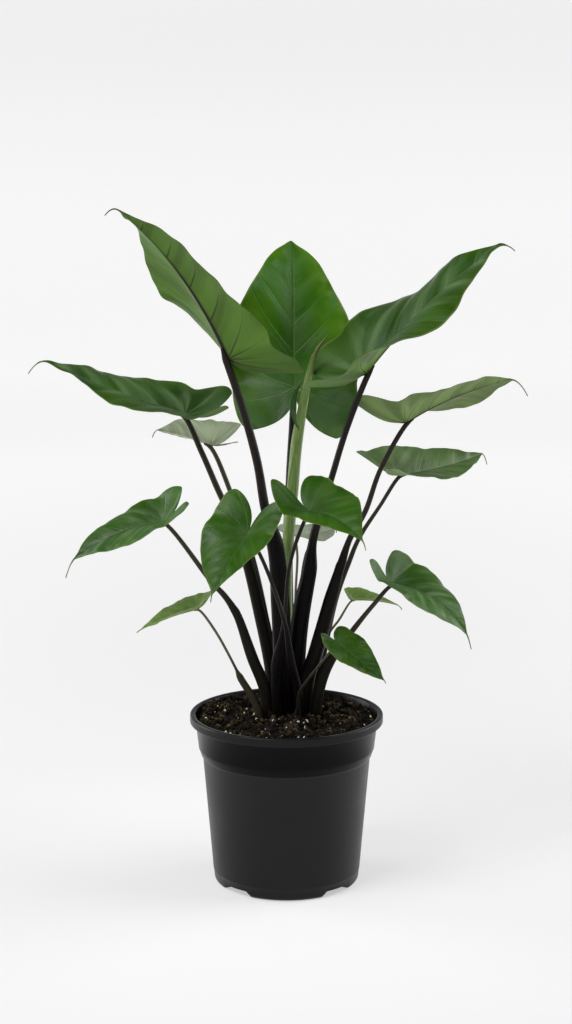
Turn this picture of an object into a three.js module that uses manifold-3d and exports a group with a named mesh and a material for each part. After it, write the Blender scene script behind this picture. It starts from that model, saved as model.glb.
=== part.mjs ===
// A black stem alocasia in a black nursery pot.
// Millimetres, +Z up, the front of the plant towards -Y. The origin is the centre of the pot's base.

import * as THREE from 'three';
import { mergeVertices } from 'three/addons/utils/BufferGeometryUtils.js';
import Module from 'manifold-3d';

const wasm = await Module();
wasm.setup();

// Driving dimensions
const POT_RIM_RADIUS = 95;
const POT_HEIGHT = 170;
const POT_WALL = 2;
const POT_SEGMENTS = 48;
const FOOT_HEIGHT = 8;
const FLOOR_THICKNESS = 2.2;
const GAP = 0.3;

const SOIL_EDGE_DROP = 8;
const SOIL_CROWN = 4.5;
const SOIL_RELIEF = 1.2;
const STEM_DEPTH_Z = 132;

const BLADE_THICKNESS = 0.9;
const RIB_DEPTH = 1.5;

// The pot

// Heights and outer radii where the wall changes slope, from the rounded foot to the rim's lip
const FOOT = { radius: 66.5, z: 0 };
const WAIST = { radius: 72.4, z: 12 };
const SHOULDER = { radius: 82.6, z: 128 };
const BAND = { radius: 86.6, z: 136 };
const LIP = { radius: 89.4, z: 161 };
const RIM_ROUND = 1.2;

// Outer and inner faces of the wall as [radius, height] points
const OUTER_WALL = [
  [FOOT.radius, FOOT.z],
  [70, 1.6],
  [71.6, 5.5],
  [WAIST.radius, WAIST.z],
  [SHOULDER.radius, SHOULDER.z],
  [BAND.radius, BAND.z],
  [LIP.radius, LIP.z],
  [POT_RIM_RADIUS, LIP.z + 0.6],
  [POT_RIM_RADIUS, POT_HEIGHT - RIM_ROUND],
  [POT_RIM_RADIUS - RIM_ROUND, POT_HEIGHT],
];
const INNER_RIM = [
  [LIP.radius + 1, POT_HEIGHT],
  [LIP.radius, POT_HEIGHT - 1],
  [LIP.radius - POT_WALL, LIP.z + 1],
];
const INNER_WALL = [
  [BAND.radius - POT_WALL, BAND.z + 1],
  [SHOULDER.radius - POT_WALL, SHOULDER.z + 1],
  [WAIST.radius - POT_WALL, WAIST.z + 2],
  [68.5, FOOT_HEIGHT + FLOOR_THICKNESS],
];
const FOOT_RING_INNER = 62;
const HUB_RADIUS = 24;

// Four notches in the foot ring let water out, each between two feet, with a hole in the floor behind it
const NOTCH_COUNT = 4;
const NOTCH_WIDTH = 34;
const NOTCH_HEIGHT = 6.5;
const NOTCH_LENGTH = 30;
const DRAIN_RADIUS = 4.5;
const DRAIN_CENTRE = 54;
const DRAIN_SEGMENTS = 12;
const DRAIN_CUT_LENGTH = 40;

function solidFrom(geometry) {
  const bare = geometry.clone();
  bare.deleteAttribute('normal');
  bare.deleteAttribute('uv');
  const merged = mergeVertices(bare, 1e-3);
  return new wasm.Manifold(new wasm.Mesh({
    numProp: 3,
    vertProperties: new Float32Array(merged.attributes.position.array),
    triVerts: new Uint32Array(merged.index.array),
  }));
}

function geometryFrom(solid) {
  const mesh = solid.getMesh();
  const geometry = new THREE.BufferGeometry();
  geometry.setAttribute('position', new THREE.BufferAttribute(mesh.vertProperties, 3));
  geometry.setIndex(new THREE.BufferAttribute(mesh.triVerts, 1));
  return geometry;
}

function lathe(profile, segments) {
  const points = profile.map(([radius, z]) => new THREE.Vector2(radius, z));
  return new THREE.LatheGeometry(points, segments).rotateX(Math.PI / 2);
}

function potShell() {
  const profile = [
    [0, 0],
    [HUB_RADIUS, 0],
    [HUB_RADIUS, FOOT_HEIGHT],
    [FOOT_RING_INNER, FOOT_HEIGHT],
    [FOOT_RING_INNER, 0],
    ...OUTER_WALL,
    ...INNER_RIM,
    ...INNER_WALL,
    [0, FOOT_HEIGHT + FLOOR_THICKNESS],
  ];
  return solidFrom(lathe(profile, POT_SEGMENTS));
}

function notchCutter(angle) {
  const slot = new THREE.BoxGeometry(NOTCH_LENGTH, NOTCH_WIDTH, NOTCH_HEIGHT * 2);
  slot.translate((FOOT_RING_INNER + WAIST.radius) / 2, 0, 0).rotateZ(angle);
  return solidFrom(slot);
}

function drainCutter(angle) {
  const hole = new THREE.CylinderGeometry(DRAIN_RADIUS, DRAIN_RADIUS, DRAIN_CUT_LENGTH, DRAIN_SEGMENTS);
  hole.rotateX(Math.PI / 2).translate(DRAIN_CENTRE, 0, 0).rotateZ(angle);
  return solidFrom(hole);
}

function potGeometry() {
  let pot = potShell();
  for (let i = 0; i < NOTCH_COUNT; i += 1) {
    const angle = ((i + 0.5) / NOTCH_COUNT) * Math.PI * 2;
    pot = pot.subtract(notchCutter(angle)).subtract(drainCutter(angle));
  }
  return geometryFrom(pot);
}

// Stems

// The end of a tube narrows to this share of its radius over the same share of its length
const DOME = 0.7;

// A closed round tube along a smooth route of [x, y, z, radius] points, with a domed far end
function tubeGeometry(route, stations, sides, extra = 0) {
  const path = new THREE.CatmullRomCurve3(
    route.map(([x, y, z]) => new THREE.Vector3(x, y, z)), false, 'centripetal');
  const radii = route.map((point) => point[3]);
  const centres = [];
  const widths = [];
  for (let i = 0; i <= stations; i += 1) {
    const u = (i / stations) * (route.length - 1);
    const k = Math.min(Math.floor(u), route.length - 2);
    const blend = THREE.MathUtils.smoothstep(u - k, 0, 1);
    centres.push(path.getPoint(i / stations));
    widths.push(THREE.MathUtils.lerp(radii[k], radii[k + 1], blend) + extra);
  }
  const tangents = centres.map((_, i) => {
    const next = centres[Math.min(i + 1, stations)];
    return next.clone().sub(centres[Math.max(i - 1, 0)]).normalize();
  });
  const positions = [];
  let across = new THREE.Vector3(1, 0, 0);
  const ring = (centre, tangent, radius) => {
    across = across.clone().addScaledVector(tangent, -across.dot(tangent)).normalize();
    const side = new THREE.Vector3().crossVectors(tangent, across);
    for (let j = 0; j < sides; j += 1) {
      const angle = (j / sides) * Math.PI * 2;
      const point = centre.clone()
        .addScaledVector(across, Math.cos(angle) * radius)
        .addScaledVector(side, Math.sin(angle) * radius);
      positions.push(...point);
    }
  };
  centres.forEach((centre, i) => ring(centre, tangents[i], widths[i]));
  const domeRadius = widths[stations] * DOME;
  const domeCentre = centres[stations].clone().addScaledVector(tangents[stations], domeRadius);
  ring(domeCentre, tangents[stations], domeRadius);
  const rings = stations + 2;
  const index = [];
  for (let i = 0; i < rings - 1; i += 1) {
    for (let j = 0; j < sides; j += 1) {
      const a = i * sides + j;
      const b = i * sides + ((j + 1) % sides);
      index.push(a, b, b + sides, a, b + sides, a + sides);
    }
  }
  for (let j = 1; j < sides - 1; j += 1) {
    const last = (rings - 1) * sides;
    index.push(0, j + 1, j);
    index.push(last, last + j, last + j + 1);
  }
  const geometry = new THREE.BufferGeometry();
  geometry.setAttribute('position', new THREE.Float32BufferAttribute(positions, 3));
  geometry.setIndex(index);
  return geometry;
}

// Blades

// Half width of a blade ahead of its petiole, as [share of the length, share of the half width]
const BLADE_OUTLINE = [
  [0, 0.97], [0.1, 1], [0.25, 0.965], [0.42, 0.85], [0.57, 0.69],
  [0.7, 0.5], [0.81, 0.31], [0.9, 0.15], [0.96, 0.05], [1, 0],
];
// The crown leaf is fuller towards its tip
const FULL_OUTLINE = [
  [0, 0.97], [0.1, 1], [0.25, 0.965], [0.42, 0.86], [0.57, 0.725],
  [0.7, 0.56], [0.81, 0.42], [0.9, 0.26], [0.96, 0.1], [1, 0],
];

// The outline ends where the drip tip starts: a thread that is this share of the half width at its root
const THREAD_WIDTH = 0.035;

// Behind the petiole the halves part: the inner margins start after SINUS_START of the lobe, the outer
// ones turn in on a rounded curve, and both meet at LOBE_SPREAD of the half width
const LOBE_SPREAD = 0.68;
const LOBE_CURVE = 3;
const LOBE_ROUNDING = 0.55;
const SINUS_START = 0.04;
const SINUS_CURVE = 2.2;
const SINUS_ROUNDING = 0.6;
const LOBE_LIFT_CURVE = 1.5;

// The fold left at the tip, the arch across each half, and how much longer the drip tip's bend is
// than its thread
const TIP_FOLD = 0.6;
const CAMBER = 0.04;
const DRIP_BEND = 1.4;

// How the net of a half is spaced from the inner to the outer margin, and towards the tip
const COLUMNS = [0, 0.07, 0.4, 0.72, 1];
const TIP_ROW_SPACING = 1.25;
const RIB_TAPER = 0.8;

// Smooth curve through [x, y] points
function through(points, x) {
  const slope = (i) => {
    const a = points[Math.max(i - 1, 0)];
    const b = points[Math.min(i + 1, points.length - 1)];
    return (b[1] - a[1]) / (b[0] - a[0]);
  };
  let i = 0;
  while (i < points.length - 2 && x > points[i + 1][0]) i += 1;
  const [x0, y0] = points[i];
  const [x1, y1] = points[i + 1];
  const h = x1 - x0;
  const t = (x - x0) / h;
  const t2 = t * t;
  const t3 = t2 * t;
  return (2 * t3 - 3 * t2 + 1) * y0 + (t3 - 2 * t2 + t) * h * slope(i)
    + (3 * t2 - 2 * t3) * y1 + (t3 - t2) * h * slope(i + 1);
}

const degrees = THREE.MathUtils.degToRad;

// A blade is laid out flat, then carried onto its bent and folded midrib.
// v runs from -1 at the lobe tips through 0 at the petiole to 1 at the tip.
class Blade {
  constructor(leaf) {
    this.leaf = leaf;
    this.at = new THREE.Vector3(...leaf.at);
    const line = new THREE.Vector3(...leaf.tip).sub(this.at);
    this.length = line.length();
    this.along = line.normalize();
    this.across = new THREE.Vector3().crossVectors(this.along, new THREE.Vector3(0, 0, 1)).normalize();
    this.face = new THREE.Vector3().crossVectors(this.across, this.along);
  }

  frame(v) {
    const roll = degrees(this.leaf.roll + this.leaf.twist * Math.max(v, 0));
    const across = this.across.clone().multiplyScalar(Math.cos(roll))
      .addScaledVector(this.face, -Math.sin(roll));
    const face = this.face.clone().multiplyScalar(Math.cos(roll))
      .addScaledVector(this.across, Math.sin(roll));
    return { across, face };
  }

  distance(v) {
    return v * this.length * (v < 0 ? this.leaf.lobe : 1);
  }

  // The midrib ahead of the petiole, and behind it the line that a lobe (k = 0 left, 1 right) follows
  midrib(v, k) {
    const { leaf, length } = this;
    const { across, face } = this.frame(v);
    const point = this.at.clone().addScaledVector(this.along, this.distance(v));
    if (v < 0) {
      const lift = (-v) ** LOBE_LIFT_CURVE * leaf.lobe * length * Math.sin(degrees(leaf.rise[k]));
      return point.addScaledVector(face, lift);
    }
    const bulge = 4 * v * (1 - v) * length;
    const bend = leaf.tail * DRIP_BEND;
    const drip = Math.max(0, (v - 1 + bend) / bend) ** 2 * leaf.drip * length;
    point.addScaledVector(face, leaf.arch * bulge).addScaledVector(across, leaf.bow * bulge);
    point.z -= drip;
    return point;
  }

  // Flat distance from the midrib line to the inner and outer margins
  margins(v, half) {
    if (v >= 0) {
      const { tail, outline = BLADE_OUTLINE } = this.leaf;
      const body = through(outline, Math.min(1, v / (1 - tail)));
      const thread = THREAD_WIDTH * Math.min(1, (1 - v) / tail);
      return [0, Math.max(body, thread) * half];
    }
    const r = -v;
    const rounding = (1 - r ** LOBE_CURVE) ** LOBE_ROUNDING;
    const outer = LOBE_SPREAD + (BLADE_OUTLINE[0][1] - LOBE_SPREAD) * rounding;
    const q = Math.max(0, (r - SINUS_START) / (1 - SINUS_START));
    const inner = LOBE_SPREAD * (1 - (1 - q ** SINUS_CURVE) ** SINUS_ROUNDING);
    return [Math.min(inner, outer) * half, outer * half];
  }

  foldAt(v, k) {
    const { fold, lobeFold } = this.leaf;
    if (v >= 0) return degrees(fold[k] * (1 - v * (1 - TIP_FOLD)));
    return degrees(THREE.MathUtils.lerp(fold[k], lobeFold[k], THREE.MathUtils.smoothstep(-v, 0, 1)));
  }

  // Point on the middle surface: side -1 or 1, t from the inner to the outer margin
  point(side, v, t) {
    const k = side < 0 ? 0 : 1;
    const { leaf } = this;
    const [inner, outer] = this.margins(v, leaf.halves[k]);
    const x = THREE.MathUtils.lerp(inner, outer, t);
    const s = outer > 0 ? x / outer : 0;
    const fold = this.foldAt(v, k);
    const turns = leaf.waves * (this.distance(v) / this.length);
    const ripple = leaf.wave[k] * s * s * Math.sin(Math.PI * 2 * turns + degrees(leaf.phase[k]));
    const rise = x * Math.sin(fold) + outer * (CAMBER * 4 * s * (1 - s) + ripple);
    const { across, face } = this.frame(v);
    return this.midrib(v, k)
      .addScaledVector(across, side * x * Math.cos(fold))
      .addScaledVector(face, rise);
  }
}

// A triangle net with shared corners
class Net {
  constructor() {
    this.points = [];
    this.depths = [];
    this.faces = [];
    this.lookup = new Map();
  }

  corner(point, depth) {
    const key = point.toArray().map((c) => Math.round(c * 1e3)).join();
    if (!this.lookup.has(key)) {
      this.lookup.set(key, this.points.length);
      this.points.push(point);
      this.depths.push(depth);
    }
    return this.lookup.get(key);
  }

  triangle(a, b, c) {
    if (a !== b && b !== c && c !== a) this.faces.push([a, b, c]);
  }

  // Closed solid: the net moved out to both sides of itself, with a wall round its open edge
  thicken(thickness) {
    const normals = this.points.map(() => new THREE.Vector3());
    this.faces.forEach(([a, b, c]) => {
      const ab = this.points[b].clone().sub(this.points[a]);
      const ac = this.points[c].clone().sub(this.points[a]);
      const normal = ab.cross(ac);
      [a, b, c].forEach((i) => normals[i].add(normal));
    });
    normals.forEach((normal) => normal.normalize());
    const count = this.points.length;
    const upper = this.points.map((p, i) => p.clone().addScaledVector(normals[i], thickness / 2));
    const lower = this.points.map((p, i) =>
      p.clone().addScaledVector(normals[i], -thickness / 2 - this.depths[i]));
    const index = [];
    const edges = new Map();
    this.faces.forEach(([a, b, c]) => {
      index.push(a, b, c);
      index.push(c + count, b + count, a + count);
      [[a, b], [b, c], [c, a]].forEach(([from, to]) => edges.set(`${from},${to}`, [from, to]));
    });
    edges.forEach(([from, to]) => {
      if (edges.has(`${to},${from}`)) return;
      index.push(to, from, from + count);
      index.push(to, from + count, to + count);
    });
    const geometry = new THREE.BufferGeometry();
    const positions = [...upper, ...lower].flatMap((p) => p.toArray());
    geometry.setAttribute('position', new THREE.Float32BufferAttribute(positions, 3));
    geometry.setIndex(index);
    return geometry;
  }
}

function bladeGeometry(leaf) {
  const blade = new Blade(leaf);
  const [lobeRows, bladeRows] = leaf.rows;
  const net = new Net();
  const rows = [];
  for (let i = 0; i < lobeRows; i += 1) rows.push(-Math.sin((1 - i / lobeRows) * (Math.PI / 2)));
  for (let i = 0; i <= bladeRows; i += 1) rows.push(1 - (1 - i / bladeRows) ** TIP_ROW_SPACING);
  const ribDepth = (v, t) => (v >= 0 && t === 0 ? leaf.rib * (1 - RIB_TAPER * v) : 0);
  [-1, 1].forEach((side) => {
    const grid = rows.map((v) => COLUMNS.map((t) =>
      net.corner(blade.point(side, v, t), ribDepth(v, t))));
    for (let i = 0; i < rows.length - 1; i += 1) {
      for (let j = 0; j < COLUMNS.length - 1; j += 1) {
        const [a, b, c, d] = [grid[i][j], grid[i][j + 1], grid[i + 1][j + 1], grid[i + 1][j]];
        if (side > 0) {
          net.triangle(a, b, c);
          net.triangle(a, c, d);
        } else {
          net.triangle(a, c, b);
          net.triangle(a, d, c);
        }
      }
    }
  });
  return net.thicken(BLADE_THICKNESS);
}

// The petiole's route ends just under the blade's rib
function petioleRoute(leaf) {
  const blade = new Blade(leaf);
  const { face } = blade.frame(0);
  const topRadius = leaf.top;
  const end = blade.at.clone().addScaledVector(face, -(BLADE_THICKNESS / 2 + leaf.rib + GAP + topRadius));
  const foot = leaf.stem[0];
  return [
    [foot[0], foot[1], STEM_DEPTH_Z, foot[3]],
    ...leaf.stem,
    [...end, topRadius],
  ];
}

// The leaves, each with the point where its petiole meets the blade, its tip, the flat width of
// its left and right halves, how far it rolls, folds, arches and waves, and its petiole's route
// of [x, y, z, radius] points from the soil up
const TINY_ROWS = [3, 8];
const SMALL_ROWS = [4, 10];
const LARGE_ROWS = [6, 14];
const LEAVES = [
  {
    name: 'crown', at: [8, 49, 487], tip: [4, 115, 634], halves: [74, 64],
    roll: 10, twist: 12, fold: [16, 20], lobeFold: [20, -10], rise: [-5, -5], lobe: 0.3,
    arch: 0.07, bow: -0.02, wave: [0.12, 0.06], phase: [110, -20],
    tail: 0.06, drip: 0.11, waves: 1.6, rib: RIB_DEPTH, rows: LARGE_ROWS, top: 3.2, outline: FULL_OUTLINE,
    stem: [[-2, 48, 165, 7.8], [0, 47, 240, 7.2], [1, 46, 320, 5.4], [3, 47, 399, 3.6],
      [6, 49, 453, 3.4]],
  },
  {
    name: 'upper_left', at: [-54, -59, 527], tip: [-160, -146, 677], halves: [46, 77],
    roll: 2, twist: 0, fold: [20, 18], lobeFold: [32, 48], rise: [24, 16], lobe: 0.29,
    arch: 0.08, bow: 0.02, wave: [-0.16, -0.16], phase: [-85, 295],
    tail: 0.07, drip: 0.07, waves: 1.2, rib: RIB_DEPTH, rows: LARGE_ROWS, top: 3.4,
    stem: [[-2.5, 6, 165, 8.6], [-4, 1, 225, 9], [-6, -6, 280, 9.2], [-10, -13, 336, 8.4],
      [-20, -23, 376, 4.6], [-28, -34, 426, 4.1], [-42, -48, 481, 3.8]],
  },
  {
    name: 'upper_right', at: [75, -34, 511], tip: [211, -54, 641], halves: [75, 74],
    roll: 14, twist: 20, fold: [6, 14], lobeFold: [25, 42], rise: [10, 12], lobe: 0.24,
    arch: 0.04, bow: -0.01, wave: [0.26, 0.22], phase: [80, 60],
    tail: 0.08, drip: 0.08, waves: 1.1, rib: RIB_DEPTH, rows: LARGE_ROWS, top: 2.8,
    stem: [[10, 20, 165, 8.6], [10, 15, 221, 8.9], [15, 8, 272, 8.6], [22, 1, 310, 7.4],
      [26, -3, 345, 4.2], [43, -15, 406, 3.1], [57, -24, 455, 3]],
  },
  {
    name: 'mid_left', at: [-101, 75, 456], tip: [-256, 71, 518], halves: [51, 52],
    roll: -19, twist: 4, fold: [16, 2], lobeFold: [54, 34], rise: [12, 12], lobe: 0.22,
    arch: 0, bow: -0.05, wave: [0.13, -0.08], phase: [55, -135],
    tail: 0.1, drip: 0.13, waves: 1.4, rib: RIB_DEPTH, rows: LARGE_ROWS, top: 2.6,
    stem: [[-11, 22, 165, 7.6], [-14, 24, 205, 7.4], [-24, 31, 255, 7], [-40, 43, 319, 6.2],
      [-51, 49, 350, 3.6], [-65, 56, 376, 3.1], [-84, 66, 418, 2.9]],
  },
  {
    name: 'back_left', at: [-76, 104, 420], tip: [-136, 111, 435], halves: [26, 20],
    roll: 18, twist: 20, fold: [52, 8], lobeFold: [52, 12], rise: [38, 22], lobe: 0.39,
    arch: 0.05, bow: 0.01, wave: [-0.12, -0.02], phase: [-70, 5],
    tail: 0.06, drip: 0.13, waves: 1.4, rib: 0.8, rows: TINY_ROWS, top: 2.2,
    stem: [[-15, 37, 165, 6], [-18, 46, 220, 5.4], [-30, 66, 290, 4], [-58, 92, 378, 2.5]],
  },
  {
    name: 'mid_right', at: [114, -13, 461], tip: [230, -13, 504], halves: [55, 36],
    roll: -20, twist: -20, fold: [6, 12], lobeFold: [36, 38], rise: [30, 26], lobe: 0.31,
    arch: 0.05, bow: 0.02, wave: [0.13, 0.2], phase: [40, 110],
    tail: 0.1, drip: 0.15, waves: 1, rib: RIB_DEPTH, rows: LARGE_ROWS, top: 2.3,
    stem: [[17.5, 4, 165, 7.4], [21, 2, 205, 7.4], [28, 0, 228, 7.2], [42, -2, 280, 6.6],
      [52, -5, 316, 4.4], [61, -7, 345, 3], [76, -9, 373, 2.6], [90, -12, 414, 2.4]],
  },
  {
    name: 'inner_right', at: [111, 31, 402], tip: [203, 102, 414], halves: [38, 37],
    roll: 16, twist: 4, fold: [20, 16], lobeFold: [14, 30], rise: [26, 20], lobe: 0.31,
    arch: 0, bow: 0.05, wave: [-0.06, 0.08], phase: [-125, 105],
    tail: 0.06, drip: 0.12, waves: 1.4, rib: 1, rows: SMALL_ROWS, top: 1.9,
    stem: [[27, 20, 165, 5.8], [33, 20, 215, 5.2], [50, 22, 286, 3.2], [60, 24, 312, 2.5],
      [71, 26, 339, 2.2], [92, 28, 372, 1.9]],
  },
  {
    name: 'front_left', at: [-37, -66, 362], tip: [-70, -116, 312], halves: [30, 40],
    roll: -10, twist: 26, fold: [12, 16], lobeFold: [6, 18], rise: [14, 8], lobe: 0.47,
    arch: 0.03, bow: -0.01, wave: [-0.01, 0.03], phase: [0, 0],
    tail: 0.03, drip: 0.06, waves: 1.7, rib: 1, rows: SMALL_ROWS, top: 1.7,
    stem: [[13, -10, 165, 4.4], [11, -20, 197, 4.3], [4, -33, 233, 3.8], [-1, -43, 268, 2.3],
      [-12, -50, 306, 1.9], [-26, -57, 342, 1.8]],
  },
  {
    name: 'front_right', at: [21, -69, 384], tip: [72, -139, 366], halves: [36, 30],
    roll: 8, twist: 4, fold: [32, 6], lobeFold: [22, 20], rise: [18, 36], lobe: 0.37,
    arch: 0.09, bow: -0.02, wave: [-0.1, 0.04], phase: [-30, 60],
    tail: 0.05, drip: 0.06, waves: 1.4, rib: 1, rows: SMALL_ROWS, top: 1.8,
    stem: [[-8.5, -9, 165, 5.4], [-10, -17, 223, 4.8], [-4, -24, 255, 2.7], [-1, -32, 283, 2],
      [2, -47, 322, 1.9], [10, -62, 356, 1.9]],
  },
  {
    name: 'low_left', at: [-118, -29, 367], tip: [-211, -40, 326], halves: [46, 31],
    roll: -14, twist: -16, fold: [16, 14], lobeFold: [16, 28], rise: [24, 16], lobe: 0.29,
    arch: 0.09, bow: 0, wave: [0.07, -0.16], phase: [100, -90],
    tail: 0.08, drip: 0.12, waves: 1.2, rib: 1, rows: SMALL_ROWS, top: 2,
    stem: [[-19, 4, 165, 6.4], [-21, 2, 192, 6], [-33, -2, 224, 5.4], [-49, -10, 272, 3.8],
      [-60, -12, 290, 2.9], [-72, -15, 304, 2.5]],
  },
  {
    name: 'small_left', at: [-86, -10, 277], tip: [-146, -10, 254], halves: [23, 25],
    roll: 0, twist: -10, fold: [16, 20], lobeFold: [20, 6], rise: [26, 24], lobe: 0.31,
    arch: 0.03, bow: 0.01, wave: [-0.02, -0.03], phase: [40, -115],
    tail: 0.07, drip: 0.02, waves: 1.6, rib: 0.6, rows: TINY_ROWS, top: 1.2,
    stem: [[-26, -7, 165, 3.8], [-32, -7, 184, 3.6], [-45, -7, 206, 3.2], [-50, -7, 217, 1.3],
      [-70, -8, 255, 1.3]],
  },
  {
    name: 'low_right', at: [102, -18, 303], tip: [176, -58, 256], halves: [36, 44],
    roll: 2, twist: 14, fold: [15, 14], lobeFold: [26, 20], rise: [14, 32], lobe: 0.23,
    arch: 0.15, bow: 0, wave: [0.2, -0.1], phase: [105, -95],
    tail: 0.06, drip: 0.08, waves: 1, rib: 1, rows: SMALL_ROWS, top: 1.9,
    stem: [[29, -6, 165, 5.8], [32, -8, 195, 5.5], [42, -11, 224, 5.2], [58, -15, 248, 2.8],
      [84, -20, 283, 2.2]],
  },
  {
    name: 'small_right', at: [65, 50, 272], tip: [116, 56, 264], halves: [21, 19],
    roll: 5, twist: -8, fold: [20, 18], lobeFold: [10, 28], rise: [26, 24], lobe: 0.13,
    arch: 0.05, bow: 0.01, wave: [0.01, -0.04], phase: [-30, -90],
    tail: 0.08, drip: 0.07, waves: 1.7, rib: 0.5, rows: TINY_ROWS, top: 1,
    stem: [[31, 32, 165, 2.4], [34, 37, 221, 1.5], [44, 42, 242, 1.2], [52, 45, 252, 1.2]],
  },
  {
    name: 'front_small', at: [48, -74, 259], tip: [93, -106, 229], halves: [23, 19],
    roll: 14, twist: 6, fold: [8, 8], lobeFold: [5, 30], rise: [0, 2], lobe: 0.21,
    arch: 0, bow: 0.01, wave: [-0.05, -0.06], phase: [105, -75],
    tail: 0.03, drip: 0.04, waves: 1.7, rib: 0.5, rows: TINY_ROWS, top: 1,
    stem: [[12, -19, 165, 2.4], [12, -33, 197, 1.5], [19, -42, 212, 1.4], [31, -56, 232, 1.2],
      [40, -65, 246, 1.2]],
  },
  {
    name: 'back_small', at: [11, 95, 330], tip: [52, 149, 327], halves: [15, 18],
    roll: 26, twist: 2, fold: [8, 12], lobeFold: [32, 42], rise: [0, 0], lobe: 0.4,
    arch: 0.03, bow: 0.08, wave: [-0.05, -0.09], phase: [-20, -60],
    tail: 0.05, drip: 0.09, waves: 1.6, rib: 0.5, rows: TINY_ROWS, top: 1,
    stem: [[12, 36, 165, 2.6], [10, 52, 220, 1.5], [9, 68, 269, 1.3], [11, 86, 307, 1.3]],
  },
];

// The new leaf, still rolled, stands between the stems and ends in a bent thread
const NEW_LEAF_ROUTE = [
  [0, 33, STEM_DEPTH_Z, 4.6], [1, 31, 250, 4.4], [1, 28, 317, 4.6], [2, 25, 344, 5.9], [6, 18, 388, 5.6],
  [10, 11, 436, 5.6], [16, 4, 474, 4.6], [22, -3, 507, 3.4], [29, -7, 529, 1.8], [39, -9, 543, 0.6],
];

const THICK_STEM = 4;
const STEM_LOOK = { thick: { sides: 9, stations: 12 }, thin: { sides: 6, stations: 10 } };

function stemGeometry(route, extra = 0) {
  const look = route[0][3] > THICK_STEM ? STEM_LOOK.thick : STEM_LOOK.thin;
  return tubeGeometry(route, look.stations, look.sides, extra);
}

// The soil

const SOIL_SEED = 7;
const SOIL_RINGS = [79, 68, 56, 44, 32, 20, 9, 0];
const SOIL_EDGE_Z = POT_HEIGHT - SOIL_EDGE_DROP;
const SOIL_FLOOR_Z = FOOT_HEIGHT + FLOOR_THICKNESS + GAP;

// Lumps raise the surface, and a share of them, the dips, lower it
const LUMP_COUNT = 90;
const LUMP_SPREAD = 80;
const LUMP_RADIUS = [4, 9];
const DIP_SHARE = 0.35;

// Repeatable random numbers from 0 to 1, by a linear congruential generator
function randomFrom(seed) {
  const [multiplier, increment, modulus] = [1664525, 1013904223, 2 ** 32];
  let state = seed;
  return () => {
    state = (state * multiplier + increment) % modulus;
    return state / modulus;
  };
}

function soilLumps() {
  const random = randomFrom(SOIL_SEED);
  return Array.from({ length: LUMP_COUNT }, () => {
    const angle = random() * Math.PI * 2;
    const distance = Math.sqrt(random()) * LUMP_SPREAD;
    return {
      x: Math.cos(angle) * distance,
      y: Math.sin(angle) * distance,
      radius: THREE.MathUtils.lerp(...LUMP_RADIUS, random()),
      height: (random() - DIP_SHARE) * SOIL_RELIEF * 2,
    };
  });
}

function soilGeometry(holes) {
  const wall = INNER_WALL.toReversed().map(([radius, z]) => [radius - GAP, Math.max(z, SOIL_FLOOR_Z)]);
  const edgeRadius = LIP.radius - POT_WALL - GAP;
  const top = SOIL_RINGS.map((radius) => {
    const inward = 1 - (radius / edgeRadius) ** 2;
    return [radius, SOIL_EDGE_Z + SOIL_CROWN * inward];
  });
  const geometry = lathe([[0, SOIL_FLOOR_Z], ...wall, [edgeRadius, SOIL_EDGE_Z], ...top], POT_SEGMENTS);
  const lumps = soilLumps();
  const position = geometry.attributes.position;
  for (let i = 0; i < position.count; i += 1) {
    const [x, y, z] = [position.getX(i), position.getY(i), position.getZ(i)];
    if (z > SOIL_EDGE_Z + GAP) {
      const relief = lumps.reduce((sum, lump) => {
        const d = Math.hypot(x - lump.x, y - lump.y) / lump.radius;
        return sum + lump.height * Math.exp(-d * d);
      }, 0);
      position.setZ(i, z + relief);
    }
  }
  let soil = solidFrom(geometry);
  holes.forEach((hole) => {
    soil = soil.subtract(solidFrom(hole));
  });
  return geometryFrom(soil);
}

// A stem's hole keeps a thin gap all round it and under it
function holeGeometry(route) {
  const [[x, y, z, radius], ...rest] = route;
  return stemGeometry([[x, y, z - GAP, radius], ...rest], GAP);
}

// Materials

const MATERIALS = {
  pot: new THREE.MeshStandardMaterial({ color: 0x26282a, roughness: 0.5 }),
  soil: new THREE.MeshStandardMaterial({ color: 0x2a1d15, roughness: 0.95 }),
  blade: new THREE.MeshStandardMaterial({ color: 0x2c6a1e, roughness: 0.35, side: THREE.DoubleSide }),
  stem: new THREE.MeshStandardMaterial({ color: 0x241d1c, roughness: 0.4 }),
  newLeaf: new THREE.MeshStandardMaterial({ color: 0x7fa83c, roughness: 0.4 }),
};

function named(name, geometry, material) {
  const mesh = new THREE.Mesh(geometry, material);
  mesh.name = name;
  return mesh;
}

function alocasia() {
  const plant = new THREE.Group();
  const routes = LEAVES.map(petioleRoute);
  plant.add(named('pot', potGeometry(), MATERIALS.pot));
  plant.add(named('soil', soilGeometry([...routes, NEW_LEAF_ROUTE].map(holeGeometry)), MATERIALS.soil));
  LEAVES.forEach((leaf, i) => {
    plant.add(named(`petiole_${leaf.name}`, stemGeometry(routes[i]), MATERIALS.stem));
    plant.add(named(`blade_${leaf.name}`, bladeGeometry(leaf), MATERIALS.blade));
  });
  plant.add(named('new_leaf', stemGeometry(NEW_LEAF_ROUTE), MATERIALS.newLeaf));
  return plant;
}

export default alocasia();
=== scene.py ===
import math

import bpy
import numpy as np
from bpy.props import FloatProperty, FloatVectorProperty, IntProperty, PointerProperty
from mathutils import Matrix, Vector, noise


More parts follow.
